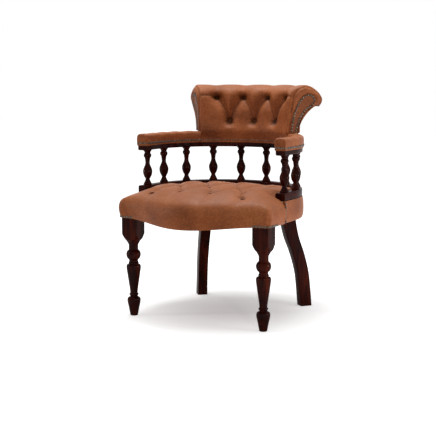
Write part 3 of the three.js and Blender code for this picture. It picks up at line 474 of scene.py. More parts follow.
make_bow("lower_bow", rounded_rail(LOWER_LOW.z, LOWER_HIGH.z))
make_bow("upper_bow", tongued_rail())

# Spindles: shares of the bulb's radius and of the visible length, as in the model
SPINDLE_RADIUS = 17 * MM
SPINDLE_SHARES = [
    (0.91, 0), (0.93, 0.018), (0.86, 0.036), (0.62, 0.1), (0.46, 0.16), (0.60, 0.2), (0.86, 0.27),
    (1, 0.36), (0.96, 0.44), (0.72, 0.52), (0.52, 0.59), (0.48, 0.65), (0.55, 0.73),
    (0.62, 0.775), (0.76, 0.80), (0.84, 0.845), (0.76, 0.885), (0.63, 0.905), (0.64, 0.93),
    (0.72, 0.955), (0.88, 0.98), (0.91, 1)]
TENON_RADIUS = 8 * MM
TENON_LENGTH = 13 * MM
AXIS_HOLE = 0.1 * MM


def make_spindle(side, number):
    low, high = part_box(f"spindle_{side}_{number}")
    x, y = (low.x + high.x) / 2, (low.y + high.y) / 2
    bottom, top = low.z + TENON_LENGTH, high.z - TENON_LENGTH
    line = smooth_line([(r * SPINDLE_RADIUS, bottom + s * (top - bottom)) for r, s in SPINDLE_SHARES], 4)
    profile = [(AXIS_HOLE, low.z), (TENON_RADIUS, low.z), (TENON_RADIUS, bottom), *line,
               (TENON_RADIUS, top), (TENON_RADIUS, high.z), (AXIS_HOLE, high.z)]
    points, faces = lathe(profile, x, y, 32)
    make_wooden(f"turned_spindle_{side}_{number}", (points, faces), f"spindle_{side}_{number}", 40,
                points[:, [2, 0, 1]] + number)


for number in range(1, 6):
    make_spindle("left", number)
    make_spindle("right", number)

# Front legs: the turning's shares as in the model, and a square block above it
LEG_SHARES = [
    (0.46, 0), (0.50, 0.004), (0.54, 0.014), (0.72, 0.11), (0.88, 0.185), (0.915, 0.22), (0.84, 0.25),
    (0.56, 0.268), (0.53, 0.278), (0.60, 0.288), (0.64, 0.3), (0.60, 0.312), (0.52, 0.323),
    (0.6, 0.4), (0.78, 0.52), (0.94, 0.63), (0.995, 0.675), (0.985, 0.702), (0.90, 0.720),
    (0.69, 0.729), (0.71, 0.745), (0.65, 0.757), (0.61, 0.772), (0.66, 0.790), (0.88, 0.815),
    (1, 0.862), (0.90, 0.905), (0.69, 0.926), (0.65, 0.95), (0.66, 1)]
POMMEL_SHARES = [(0.0, 0.0), (0.10, 0.12), (0.30, 0.32), (0.60, 0.54), (1, 1)]
SQUARENESS = 26


def make_front_leg(name, side):
    neck = TURNED_RADIUS * LEG_SHARES[-1][0]
    reach = LEG_HALF * math.sqrt(2)
    turning = smooth_line([(r * TURNED_RADIUS, s * POMMEL_LOW) for r, s in LEG_SHARES], 4)
    pommel = smooth_line([(neck + (reach - neck) * o, POMMEL_LOW + (POMMEL_HIGH - POMMEL_LOW) * u)
                          for o, u in POMMEL_SHARES], 8)[1:]
    profile = [(AXIS_HOLE, 0), *turning, *pommel]
    profile += [(reach * 1.02, z) for z in np.linspace(POMMEL_HIGH + MM, LEG_HIGH.z, 8)]
    profile += [(AXIS_HOLE, LEG_HIGH.z)]
    angles = np.linspace(0, 2 * math.pi, 96, endpoint=False)
    rounded = abs(np.cos(angles)) ** SQUARENESS + abs(np.sin(angles)) ** SQUARENESS
    square = LEG_HALF * rounded ** (-1 / SQUARENESS)
    rings = []
    for radius, z in profile:
        limit = np.minimum(radius, square)
        rings.append(np.column_stack([side * LEG_X + limit * np.cos(angles),
                                      LEG_Y + limit * np.sin(angles), np.full(len(angles), z)]))
    points, faces = loft(rings)
    make_wooden(f"turned_leg_{name}", (points, faces), f"front_leg_{name}", 38,
                points[:, [2, 0, 1]] + side)


for name, side in SIDES:
    make_front_leg(name, side)

# Rear legs
SABRE_SHARES = [(0, 1), (0.13, 0.936), (0.3, 0.815), (0.465, 0.56), (0.594, 0.285), (0.714, 0.115),
                (0.83, 0.03), (1, 0)]
REAR_DEEP = (50 * MM, 44 * MM)
REAR_WIDE = (40 * MM, 37 * MM)
REAR_EDGE = 3 * MM


def leg_point(height, sweep, out, across, side):
    """A point of the rear leg, so far out and across from its swept middle line."""
    centre = REAR_TOP_RADIUS + (REAR_FOOT_RADIUS - REAR_TOP_RADIUS) * sweep
    point = LEG_OUTWARD * (centre + out) + LEG_ACROSS * across
    return (point + np.array([0, CENTRE_Y, REAR_TOP * height])) * np.array([side, 1, 1])


def make_rear_leg(name, side):
    rings = []
    for height, sweep in even_line(SABRE_SHARES, 60):
        deep = (REAR_DEEP[0] + (REAR_DEEP[1] - REAR_DEEP[0]) * sweep) / 2 - REAR_EDGE
        wide = (REAR_WIDE[0] + (REAR_WIDE[1] - REAR_WIDE[0]) * sweep) / 2 - REAR_EDGE
        ring = []
        for cx, cy, start in ((deep, wide, 0), (-deep, wide, 90), (-deep, -wide, 180), (deep, -wide, 270)):
            for turn in np.radians(np.linspace(start, start + 90, 5)):
                out, across = cx + REAR_EDGE * math.cos(turn), cy + REAR_EDGE * math.sin(turn)
                ring.append(leg_point(height, sweep, out, across, side))
        rings.append(ring)
    points, faces = loft(rings)
    make_wooden(f"sabre_leg_{name}", (points, faces), f"rear_leg_{name}", 50, points[:, [2, 0, 1]] + side)


for name, side in SIDES:
    make_rear_leg(name, side)

# Tufts and pleats
TUFT_PULL = 30 * MM
PUFF_SPREAD = 20 * MM
CREASE_ROUND = 0.5 * MM
GATHERS = 7
GATHER_DEPTH = 0.09


def part(value, length):
    """How much of a length the value has covered, from 0 to 1."""
    return np.clip(value / length, 0, 1)


def fall_off(distance, spread, power=2):
    """One at no distance, and little beyond the spread."""
    return np.exp(-(distance / spread) ** power)


def line_distance(x, y, start, end):
    ax, ay = start
    bx, by = end
    share = ((x - ax) * (bx - ax) + (y - ay) * (by - ay)) / ((bx - ax) ** 2 + (by - ay) ** 2)
    share = np.clip(share, 0, 1)
    return np.hypot(x - ax - (bx - ax) * share, y - ay - (by - ay) * share)


def diagonals(tufts, pitch, row_pitch, bow):
    """A pleat from each tuft to its neighbours in the next row, bowed in at its middle."""
    pleats = []
    for x, y in tufts:
        for u, v in tufts:
            if 0 < v - y < 1.5 * row_pitch and abs(abs(u - x) - pitch / 2) < pitch / 8:
                middle = ((x + u) / 2 + math.copysign(bow, x - u), (y + v) / 2)
                pleats.append([(x, y), middle, (u, v)])
    return pleats


def pleat_distance(x, y, pleats):
    """How far each point is from the nearest pleat."""
    lines = [(a, b) for pleat in pleats for a, b in zip(pleat[:-1], pleat[1:])]
    return np.min([line_distance(x, y, a, b) for a, b in lines], axis=0)


def tufting(x, y, tufts, pleats, soft_pleats, spec):
    """How far the cover is drawn in at each point, and how much painted shade it gets there in its pits
    and along its pleats and creases. The spec gives the depth and spread of the hollow round a button,
    of the pit that holds the button, and of the soft valley and the sharp crease along a pleat, then how
    far the puffs stand out and how far the soft pleats reach from their tufts."""
    near_tuft = np.min([np.hypot(x - u, y - v) for u, v in tufts], axis=0)
    around = np.sum([np.arctan2(y - v, x - u) * (np.hypot(x - u, y - v) == near_tuft)
                     for u, v in tufts], axis=0)
    near_pleat = pleat_distance(x, y, pleats)
    near_soft = pleat_distance(x, y, soft_pleats)
    hollow, pit, valley, crease, puff, reach = spec
    towards = 0.4 + 0.6 * fall_off(near_tuft, TUFT_PULL, 1)
    lasting = 0.12 + 0.88 * fall_off(near_tuft, reach, 1)
    valleys = np.maximum(valley[0] * fall_off(near_pleat, valley[1], 1.5),
                         valley[0] * lasting * fall_off(near_soft, valley[1], 1.7))
    drawn = np.hypot(hollow[0] * fall_off(near_tuft, hollow[1], 1.6), valleys)
    drawn += pit[0] * fall_off(near_tuft, pit[1], 2.4)
    gather = fall_off(near_tuft - 1.3 * pit[1], 0.6 * pit[1])
    drawn += GATHER_DEPTH * pit[0] * gather * np.cos(GATHERS * around + 40 * x)
    edge = np.minimum(near_pleat, near_soft + 3 * MM * near_tuft / reach)
    edge = np.hypot(edge, CREASE_ROUND) - CREASE_ROUND
    drawn += crease[0] * towards * fall_off(edge, crease[1], 1)
    drawn -= puff * (1 - np.maximum(fall_off(near_pleat, PUFF_SPREAD),
                                    lasting * fall_off(near_soft, PUFF_SPREAD)))
    # Painted shade: darker in the button pits, along the creases and beside the pleats.
    fold_shade = fall_off(near_tuft, 1.25 * pit[1], 3)
    lines = towards * fall_off(edge, 0.8 * crease[1])
    shade = 0.3 * fall_off(near_pleat, 7 * MM, 1) * towards
    return drawn, np.clip(np.maximum(fold_shade, 0.7 * lines) + shade, 0, 1)


# Seat
TUFT_PITCH = 119 * MM
TUFT_ROW_PITCH = 95 * MM
LONG_ROW = (-1.5, -0.5, 0.5, 1.5)
SHORT_ROW = (-1, 0, 1)
SEAT_TUFTS = [(k * TUFT_PITCH, LEG_Y + row * TUFT_ROW_PITCH)
              for row in range(3) for k in (SHORT_ROW if row % 2 else LONG_ROW)]
LAST_ROW_Y = LEG_Y + 2 * TUFT_ROW_PITCH
# Joints of the pleats behind the last row: they have no buttons, and make the dips of the rear edge
JOINT_SHIFT = -14 * MM
REAR_JOINTS = [(k * TUFT_PITCH + JOINT_SHIFT, LAST_ROW_Y + TUFT_ROW_PITCH) for k in (-2, -1, 0, 1, 2)]
SEAT_PLEATS = diagonals(SEAT_TUFTS + REAR_JOINTS, TUFT_PITCH, TUFT_ROW_PITCH, 0)
SEAT_END_PLEATS = [[(k * TUFT_PITCH, LEG_Y), (k * TUFT_PITCH, LEG_Y - 200 * MM)] for k in LONG_ROW]
SEAT_END_PLEATS += [[joint, (joint[0], joint[1] + 170 * MM)] for joint in REAR_JOINTS]
SEAT_SPEC = ((7 * MM, 26 * MM), (2.5 * MM, 8 * MM), (5 * MM, 20 * MM), (2.2 * MM, 3.2 * MM),
             2 * MM, 130 * MM)
SEAT_FOLD_SHADE = 0.6
CROWN_BACK = 150 * MM
CROWN_FALL_AHEAD = 33 * MM
CROWN_FALL_BEHIND = 42 * MM
CROWN_FALL_LEFT = 25 * MM
CROWN_FALL_RIGHT = 14 * MM
JOINT_HOLLOW = (6 * MM, 32 * MM)
REAR_VALLEY = (6 * MM, 14 * MM)
SEAT_MIDDLE = np.array([0, LEG_Y + 190 * MM])
ABOVE_CROWN = 1.0
SEAT_SIDE = BOW_OUTER + CLEAR
SIDE_SHARES = [(0, 0), (0.12, 0.1), (0.2, 0.26), (0.16, 0.38), (0.03, 0.48), (-0.2, 0.575),
               (-0.62, 0.66), (-1.3, 0.75), (-2.2, 0.88), (-2.9, 1.06)]


def serpentine(x):
    share = np.minimum(np.abs(x) / LEG_X, 1)
    return ((1 + np.cos(math.pi * share)) / 2) ** 0.8


def front_face(x):
    return LEG_Y - LEG_HALF - FRONT_BULGE * serpentine(x)


def crown_height(x, y):
    crown_y = LEG_Y + CROWN_BACK
    front = front_face(0) - LEATHER
    ahead = CROWN_FALL_AHEAD * ((crown_y - y) / (crown_y - front)) ** 2
    behind = CROWN_FALL_BEHIND * ((y - crown_y) / (CENTRE_Y + BOW_INNER - crown_y)) ** 2
    across = np.where(x > 0, CROWN_FALL_RIGHT, CROWN_FALL_LEFT) * np.abs(x / BOW_INNER) ** 2.8
    return PAD_CROWN - 3 * MM - np.where(y < crown_y, ahead, behind) - across


def seat_outline(outset):
    """The cushion's plan outline, moved out: serpentine front, round corners, round rear."""
    side = SEAT_SIDE + outset
    rear_side = SEAT_SIDE + max(outset, 0)
    front_y = front_face(LEG_X) - LEATHER - outset
    softer = max(-outset, 0) * PAD_CORNER_SOFTENING + max(outset, 0) * PAD_CORNER_SWELL
    corner_radius = min(PAD_CORNER + softer, BOW_FRONT - 3 * MM - front_y)
    corner_x = side - corner_radius
    corner_y = front_y + corner_radius
    xs = corner_x * np.linspace(-1, 1, 181)
    front = np.column_stack([xs, front_face(xs) - LEATHER - outset])
    turn = np.linspace(-math.pi / 2, 0, 18)[1:]
    corner = np.column_stack([corner_x + corner_radius * np.cos(turn),
                              corner_y + corner_radius * np.sin(turn)])
    straight = np.column_stack([np.full(30, side), np.linspace(corner_y, BOW_FRONT, 31)[1:]])
    blend = np.linspace(0, 1, 15)[1:-1, None]
    inner = straight[-1] * (1 - blend) + np.array([rear_side, CENTRE_Y]) * blend
    arc = np.linspace(0, math.pi, 190)
    rear = np.column_stack([rear_side * np.cos(arc), CENTRE_Y + rear_side * np.sin(arc)])
    right = np.vstack([corner, straight, inner])
    return np.vstack([front, right, rear, right[::-1] * (-1, 1)])


def seat_rings():
    """Rings up the side, over the roll and in to the middle of the top."""
    tall = PAD_CROWN - PAD_LOW
    rings = []
    for out, up in smooth_line(SIDE_SHARES, 5):
        outline = seat_outline(out * PAD_ROLL)
        dip = FRONT_DIP * max(1 - up / 0.48, 0) * serpentine(outline[:, 0]) * (outline[:, 1] < LEG_Y)
        rings.append(np.column_stack([outline, PAD_LOW + up * tall - dip]))
    edge = seat_outline(SIDE_SHARES[-1][0] * PAD_ROLL)
    for share in np.linspace(1, 0.004, 96)[1:]:
        outline = SEAT_MIDDLE + (edge - SEAT_MIDDLE) * share
        rings.append(np.column_stack([outline, np.full(len(outline), ABOVE_CROWN)]))
    return np.array(rings)


def grid_normals(grid):
    """Outward normals of a surface of rings."""
    up = np.gradient(grid, axis=0)
    round_ring = np.roll(grid, -1, axis=1) - np.roll(grid, 1, axis=1)
    normal = np.cross(round_ring, up)
    return normal / np.maximum(np.linalg.norm(normal, axis=2), 1e-9)[:, :, None]


def make_seat():
    rings = seat_rings()
    x, y, z = rings[:, :, 0], rings[:, :, 1], rings[:, :, 2]
    blend = 5 * MM
    top = -blend * np.logaddexp(-crown_height(x, y) / blend, -z / blend)
    height = np.where(z > PAD_LOW + 60 * MM, top, z)
    smooth = np.stack([x, y, height], -1)
    normals = grid_normals(smooth)
    drawn, fold_shade = tufting(x, y, SEAT_TUFTS, SEAT_PLEATS, SEAT_END_PLEATS, SEAT_SPEC)
    rise = part(height - PAD_LOW, 92 * MM)
    nose_y = LEG_Y - 20 * MM
    above_bow = part(height - PAD_LOW - 66 * MM, 30 * MM)
    side_fade = part(BOW_INNER - 4 * MM - np.abs(x), 30 * MM)
    share = np.where(y < nose_y, rise ** 1.5, above_bow) * np.where(y > nose_y, side_fade, 1)
    near_joint = np.min([np.hypot(x - u, y - v) for u, v in REAR_JOINTS], axis=0)
    behind = part(y - LAST_ROW_Y, 40 * MM)
    drawn += JOINT_HOLLOW[0] * fall_off(near_joint, JOINT_HOLLOW[1], 1.6)
    drawn += REAR_VALLEY[0] * behind * fall_off(pleat_distance(x, y, SEAT_PLEATS), REAR_VALLEY[1], 1.6)
    points = smooth - normals * (drawn * share)[:, :, None]
    # Painted shade in the seat's pits and creases, scaled by SEAT_FOLD_SHADE.
    return make_leather("seat_cushion", loft(points), ["seat_pad"], 60,
                        (SEAT_FOLD_SHADE * fold_shade * share).ravel())


seat_cushion = make_seat()


def cut_away(piece, rooms):
    """Takes the room of the frame out of a cushion, and leaves it a plain mesh."""
    for number, room in enumerate(rooms):
        tool_mesh = bpy.data.meshes.new(f"room_{number}")
        points, faces = room
        tool_mesh.from_pydata([tuple(p) for p in points], [], faces)
        face_outwards(tool_mesh)
        tool = add_object(f"room_{number}", tool_mesh)
        cut = piece.modifiers.new("room", "BOOLEAN")
        cut.operation = "DIFFERENCE"
        cut.solver = "EXACT"
        cut.object = tool
        graph = bpy.context.evaluated_depsgraph_get()
        result = bpy.data.meshes.new_from_object(piece.evaluated_get(graph))
        piece.modifiers.remove(cut)
        old = piece.data
        piece.data = result
        bpy.data.meshes.remove(old)
        bpy.data.objects.remove(tool)
        bpy.data.meshes.remove(tool_mesh)


def bow_room():
    """The space of the lower bow and of the bands and rails below it."""
    far = BOW_OUTER + 60 * MM
    near = BOW_INNER - CLEAR
    low, high = PAD_LOW - 60 * MM, PAD_CROWN + 60 * MM
    section = np.array([(near, low), (far, low), (far, high), (near, high)])
    return loft_round(section, arm_stations(BOW_FRONT - CLEAR, math.pi / 2, 90))


cut_away(seat_cushion, [bow_room()])


# Seat band under the lower bow
BAND_SHARES = [(0.1, 0), (0.55, 0.07), (0.9, 0.22), (1, 0.45), (0.8, 0.75), (0.35, 0.93), (0, 1)]


def make_band():
    low, high = PAD_LOW + 2 * MM, LOWER_LOW.z - CLEAR
    outer = smooth_line([(BOW_OUTER + 5 * MM * o, low + (high - low) * u) for o, u in BAND_SHARES], 4)
    inner = BOW_OUTER - 6.5 * MM + CLEAR
    section = np.vstack([[(inner, low)], outer, [(inner, high)]])
    body = loft_round(section, arm_stations(BOW_FRONT + CLEAR, math.pi / 2, 90))
    band = make_leather("leather_band", body, ["seat_band"], 45)
    cut_away(band, [leg_room(1), leg_room(-1)])


def leg_room(side):
    """The rear leg's own space, a little wider than the leg."""
    deep, wide = REAR_DEEP[0] / 2 + CLEAR, REAR_WIDE[0] / 2 + CLEAR
    corners = ((1, 1), (-1, 1), (-1, -1), (1, -1))
    return loft([[leg_point(height, sweep, a * deep, b * wide, side) for a, b in corners]
                 for height, sweep in even_line(SABRE_SHARES, 30)])


make_band()


# Buttons, in the wells of their tufts
BUTTON_RADIUS = 8 * MM
BUTTON_HEIGHT = 5 * MM
SEAT_BUTTON_LIFT = 5 * MM
BACK_BUTTON_LIFT = 2 * MM
BUTTON_SHARES = [(0.02, -0.5), (0.80, -0.5), (0.97, -0.2), (1, 0.05), (0.9, 0.3), (0.62, 0.52),
                 (0.3, 0.62), (0.02, 0.65)]


def make_button(node, centre, axis, shade, rim_shade):
    """A domed button, darkened all over by painted shade, and most round its rim."""
    turn = axis.to_track_quat("Z", "Y")
    profile = smooth_line([(r * BUTTON_RADIUS, h * BUTTON_HEIGHT) for r, h in BUTTON_SHARES], 3)
    points, faces = lathe(profile, 0, 0, 24)
    placed = [centre + turn @ Vector(p) for p in points]
    # Painted shade: at least shade over the dome, full round the rim, all scaled by rim_shade.
    painted_shade = rim_shade * np.clip(1 - (points[:, 2] + 1.5 * MM) / (3.5 * MM), shade, 1)
    make_leather(f"covered_{node}", (placed, faces), [node], 60, painted_shade)


def make_seat_button(node, tuft):
    x, y = np.array([tuft[0]]), np.array([tuft[1]])
    drawn, _ = tufting(x, y, SEAT_TUFTS, SEAT_PLEATS, SEAT_END_PLEATS, SEAT_SPEC)
    height = crown_height(x, y) - drawn + SEAT_BUTTON_LIFT
    make_button(node, Vector((x[0], y[0], height[0])), Vector((0, 0, 1)), 0.2, 0.35)


def make_back_button(node, tuft):
    """Sits at the bottom of its tuft, square to the cushion's face there."""
    across, travel = tuft
    drawn, _ = back_drawn(np.array([across]), np.array([travel]))
    point = np.array([np.interp(travel, FRONT_TRAVEL, FRONT_LINE[:, i]) for i in (0, 1)])
    normal = np.array([np.interp(travel, FRONT_TRAVEL, FRONT_NORMAL[:, i]) for i in (0, 1)])
    station = arc_station(math.pi / 2 - across / BOW_INNER)
    seat = station.point(*(point - normal * (drawn[0] - BACK_BUTTON_LIFT)))
    axis = Vector(normal[0] * station.out + normal[1] * np.array([0, 0, 1]))
    make_button(node, Vector(seat), axis, 0.72, 1)


for number, tuft in enumerate(SEAT_TUFTS, 1):
    make_seat_button(f"seat_button_{number}", tuft)


# Arm pads
PUCKER = 0.7 * MM
ARM_SWELL = 1.7 * MM
ARM_SWELL_PITCH = 62 * MM
NAIL_LINE = BACK_BASE + 9 * MM


def arm_section(size, pucker, swell=0.0):
    """Soft box section with rounded shoulders, drawn in at its nail line."""
    half = LAP_REACH * size
    top = BACK_BASE + (ARM_TOP - BACK_BASE) * size
    wall = [(half - 1.5 * MM, BACK_BASE), (half - 0.5 * MM, BACK_BASE + 1.5 * MM),
            (half - pucker - 0.8 * MM, NAIL_LINE), (half + 0.2 * MM, BACK_BASE + 17 * MM),
            (half + 0.3 * MM, BACK_BASE + (top - BACK_BASE) * 0.6)]
    wall += [(half - inset * MM, top - drop * MM - swell)
             for inset, drop in ((1.2, 8), (5, 3.2), (11, 1.1))]
    wall.append((0, top - swell))
    right = smooth_line(wall, 4)
    left = right[::-1][1:] * (-1, 1)
    return np.vstack([right, left]) + (BOW_RADIUS, 0)


def make_arm_pad(name, side):
    nose = [straight_station(BOW_FRONT - 4 * MM + back * 8 * MM) for back in (0, 0.05, 0.2, 0.5, 1)]
    sizes = [0.82, 0.90, 0.955, 0.985, 1]
    rest = arm_stations(BOW_FRONT + 8 * MM, JOINT_ANGLE - CLEAR / BOW_RADIUS, 120)
    rings = []
    for station, size in zip(nose, sizes):
        rings.append(station.place(arm_section(size, 0), side))
    for station in rest:
        wave = 0.5 + 0.5 * math.cos(2 * math.pi * station.travel / NAIL_SPACING)
        swell = ARM_SWELL * (0.5 + 0.5 * math.sin(2 * math.pi * station.travel / ARM_SWELL_PITCH))
        rings.append(station.place(arm_section(1, PUCKER * wave, swell), side))
    pad = make_leather(f"arm_cushion_{name}", loft(rings), [f"arm_pad_{name}"], 60)
    rail = tongued_rail()
    grown = rail + np.sign(rail - (BOW_RADIUS, rail[:, 1].mean())) * CLEAR
    room = [s.place(grown, side) for s in arm_stations(BOW_FRONT - CLEAR, JOINT_ANGLE + 0.02, 60)]
    cut_away(pad, [loft(room)])


for name, side in SIDES:
    make_arm_pad(name, side)

# Scrolled back: shares of the scroll's reach and of its height, as in the model
FRONT_SHARES = [(-0.189, 0), (-0.171, 0.069), (-0.132, 0.174), (-0.11, 0.312), (-0.101, 0.472),
                (-0.083, 0.633), (-0.057, 0.771), (0.009, 0.872), (0.123, 0.938), (0.272, 0.982),
                (0.439, 1), (0.632, 0.977), (0.807, 0.922), (0.947, 0.853), (1, 0.78), (0.965, 0.72),
                (0.86, 0.672)]
REAR_SHARES = [(0.825, 0.662), (0.658, 0.61), (0.465, 0.514), (0.298, 0.385), (0.22, 0.261),
               (0.191, 0.151), (0.191, 0)]
FRAME_SHARES = [(0.763, 0.7), (0.772, 0.784), (0.658, 0.849), (0.482, 0.872), (0.365, 0.853),
                (0.305, 0.81), (0.29, 0.757), (0.255, 0.69), (0.114, 0.6), (0.083, 0.427), (0.06, 0.22)]
LAP_SHARE = 0.19


def back_points(shares):
    points = []
    for out, up in shares:
        over = min(max(out, -LAP_SHARE), LAP_SHARE)
        radius = BOW_RADIUS + over / LAP_SHARE * LAP_REACH + (out - over) * SCROLL_REACH
        points.append((radius, BACK_BASE + up * BACK_HEIGHT))
    return points


FRONT_LINE = even_line(back_points(FRONT_SHARES), 150)
REAR_LINE = even_line(back_points(REAR_SHARES), 50)
FRONT_NORMAL = normals_2d(FRONT_LINE)
FRONT_TRAVEL = np.concatenate([[0], np.cumsum(np.linalg.norm(np.diff(FRONT_LINE, axis=0), axis=1))])
BACK_PITCH = 0.358 * BOW_INNER
ROW_LENGTHS = [float(np.interp(BACK_BASE + share * BACK_HEIGHT, FRONT_LINE[:80, 1], FRONT_TRAVEL[:80]))
               for share in (0.365, 0.80)]
BACK_TUFTS = [(k * BACK_PITCH, ROW_LENGTHS[0]) for k in (-1, 0, 1)]
BACK_TUFTS += [(k * BACK_PITCH, ROW_LENGTHS[1]) for k in (-1.5, -0.5, 0.5, 1.5)]
BACK_PLEATS = diagonals(BACK_TUFTS, BACK_PITCH, ROW_LENGTHS[1] - ROW_LENGTHS[0], -5 * MM)
BACK_EDGE = BOW_INNER * (math.pi / 2 - JOINT_ANGLE)
BACK_END_PLEATS = [[(side * 1.5 * BACK_PITCH, ROW_LENGTHS[1]),
                    (side * 1.7 * BACK_PITCH, ROW_LENGTHS[1] + 4 * MM),
                    (side * BACK_EDGE, ROW_LENGTHS[1] + 1 * MM)] for side in (-1, 1)]
ROLL_PLEATS = [[(x, s), (x, FRONT_TRAVEL[-12])] for x, s in BACK_TUFTS[3:]]
BACK_SPEC = ((8 * MM, 17 * MM), (9 * MM, 10.5 * MM), (8 * MM, 19 * MM), (2.6 * MM, 2.6 * MM),
             8 * MM, 26 * MM)
END_ROUND = 8 * MM
LEAST_END_ROUND = 3 * MM
ROLL_DRAW = 9 * MM
BULGE = 3.5 * MM
# Wells of the two rows of buttons: their depth, their spread and how far above the button they lie
UPPER_WELL = (10 * MM, 31 * MM, -5 * MM)
LOWER_WELL = (5 * MM, 30 * MM, 10 * MM)
BELLY = 6 * MM
BELLY_TRAVEL = 46 * MM


def smooth_step(value):
    share = np.clip(value, 0, 1)
    return share * share * (3 - 2 * share)


def back_drawn(across, travel):
    """How far the back's cover is drawn in at a place on its face, and how much painted shade it gets
    there.
    """
    drawn, fold_shade = tufting(across, travel, BACK_TUFTS, BACK_PLEATS, ROLL_PLEATS, BACK_SPEC)
    upper = part(travel - ROW_LENGTHS[0], ROW_LENGTHS[1] - ROW_LENGTHS[0])
    roll = part(travel - ROW_LENGTHS[1] - 8 * MM, 45 * MM) * part(FRONT_TRAVEL[-1] - travel, 40 * MM)
    drawn = drawn * (0.82 + 0.3 * upper) + ROLL_DRAW * roll
    for tufts, (depth, spread, above) in ((BACK_TUFTS[:3], LOWER_WELL), (BACK_TUFTS[3:], UPPER_WELL)):
        to_well = np.min([np.hypot(across - x, travel - s - above) for x, s in tufts], axis=0)
        drawn += depth * fall_off(to_well, spread, 1.8)
    to_end = pleat_distance(across, travel, BACK_END_PLEATS)
    drawn += 2.5 * MM * fall_off(to_end, 9 * MM, 1.5) + 2 * MM * fall_off(to_end, 2.4 * MM, 1)
    # Painted shade along the end pleats.
    fold_shade = np.maximum(fold_shade, 0.5 * fall_off(to_end, 2.6 * MM, 1))
    for x, s in BACK_TUFTS[:3]:
        drawn -= BULGE * fall_off(across - x, 15 * MM) * fall_off(travel - s + 25 * MM, 11 * MM)
    belly = BELLY * fall_off(travel - BELLY_TRAVEL, 34 * MM)
    low_fade = smooth_step((travel - 12 * MM) / (34 * MM))
    return drawn * low_fade - belly, fold_shade * low_fade


def end_rounding():
    """How far the cushion's ends are rounded over, from its foot to the end of the roll."""
    rise = part(FRONT_LINE[:, 1] - ARM_TOP, BACK_HEIGHT / 2)
    rest = part(FRONT_TRAVEL[-1] - FRONT_TRAVEL, SCROLL_REACH / 2)
    return LEAST_END_ROUND + (END_ROUND - LEAST_END_ROUND) * rise * rest


def make_back_cushion():
    angles = np.linspace(JOINT_ANGLE, math.pi - JOINT_ANGLE, 300)
    tongue = BOW_RADIUS - TONGUE_WIDTH / 2 - 2 * CLEAR
    foot = UPPER_HIGH.z + CLEAR
    hidden = np.array(back_points(FRAME_SHARES) + [
        (BOW_RADIUS + 0.06 * SCROLL_REACH, foot), (tongue, foot), (tongue, UPPER_SHOULDER + CLEAR),
        (BOW_INNER - 2 * CLEAR, UPPER_SHOULDER + CLEAR), (BOW_INNER - 2 * CLEAR, BACK_BASE)])
    round_over = end_rounding()
    rings, fold_shades = [], []
    for angle in angles:
        across = np.full(len(FRONT_LINE), (math.pi / 2 - angle) * BOW_INNER)
        drawn, fold_shade = back_drawn(across, FRONT_TRAVEL)
        edge = min(angle - JOINT_ANGLE, math.pi - JOINT_ANGLE - angle) * BOW_INNER
        reach = np.clip(1 - edge / round_over, 0, 1)
        eased = round_over * (1 - np.sqrt(1 - reach ** 2))
        line = FRONT_LINE - FRONT_NORMAL * (drawn + eased)[:, None]
        rings.append(arc_station(angle).place(np.vstack([line, hidden])))
        # Painted shade on the face's folds, and none on its hidden side.
        fold_shades.append(np.concatenate([fold_shade, np.zeros(len(hidden))]))
    piece = make_leather("scrolled_cushion", loft(rings), ["back_pad"], 70, np.concatenate(fold_shades))


def make_back_cover():
    inner = REAR_LINE - normals_2d(REAR_LINE) * LAP
    section = np.vstack([REAR_LINE, inner[::-1]])
    body = loft([s.place(section) for s in back_stations(JOINT_ANGLE, 120)])
    cover = make_leather("outside_back", body, ["back_cover"], 45)


make_back_cushion()
make_back_cover()
for number, tuft in enumerate(BACK_TUFTS, 1):
    make_back_button(f"back_button_{number}", tuft)

# Facings on the scroll's ends: leather over the end, and a raised panel that the nails hold,
# which has no solid of its own
GROOVE = 1.2 * MM
PANEL_LIFT = 3 * MM
PANEL_SHADE = 0.3
END_SWELL = 6.5 * MM
SWELL_SHARE = 0.42
PANEL_SHARES = [
    (-0.096, 0.22), (-0.048, 0.391), (0.003, 0.511), (0.105, 0.647), (0.211, 0.742), (0.318, 0.811),
    (0.43, 0.846), (0.549, 0.863), (0.654, 0.844), (0.733, 0.806), (0.779, 0.75), (0.736, 0.687),
    (0.646, 0.643), (0.54, 0.609), (0.46, 0.578), (0.378, 0.53), (0.297, 0.467), (0.232, 0.394),
    (0.185, 0.314), (0.135, 0.216)]
PANEL_LINE = even_line(back_points(PANEL_SHARES), 120)
FACING_FOOT = ARM_TOP + 2 * CLEAR
JOINT_NORMAL = np.array([math.sin(JOINT_ANGLE), -math.cos(JOINT_ANGLE), 0])


def facing_place(point, lift, side):
    return (arc_station(JOINT_ANGLE).point(*point) + JOINT_NORMAL * lift) * np.array([side, 1, 1])


def end_plate(lines, lifts, side):
    """A plate on the scroll's end, through lines that each have their own lifts."""
    kept = np.min([line[:, 1] for line in lines], axis=0) > FACING_FOOT + 2 * MM
    rings = []
    for line, lift in zip(lines, lifts):
        moved, raised = line[kept], np.broadcast_to(lift, len(line))[kept]
        moved = np.vstack([[(moved[0, 0], FACING_FOOT)], moved, [(moved[-1, 0], FACING_FOOT)]])
        raised = np.concatenate([raised[:1], raised, raised[-1:]])
        rings.append([facing_place(p, up, side) for p, up in zip(moved, raised)])
    return loft(rings)


def panel_twin(front_count, rear_count):
    """The panel's edge at as many points as the two sides of the scroll's end."""
    tip = int(np.argmax(PANEL_LINE[:, 0]))
    front = even_line(PANEL_LINE[:tip + 1:6], front_count - 1)
    rear = even_line(np.vstack([front[-1:], PANEL_LINE[tip + 6::6], PANEL_LINE[-1:]]), rear_count)
    return np.vstack([front, rear[1:]])


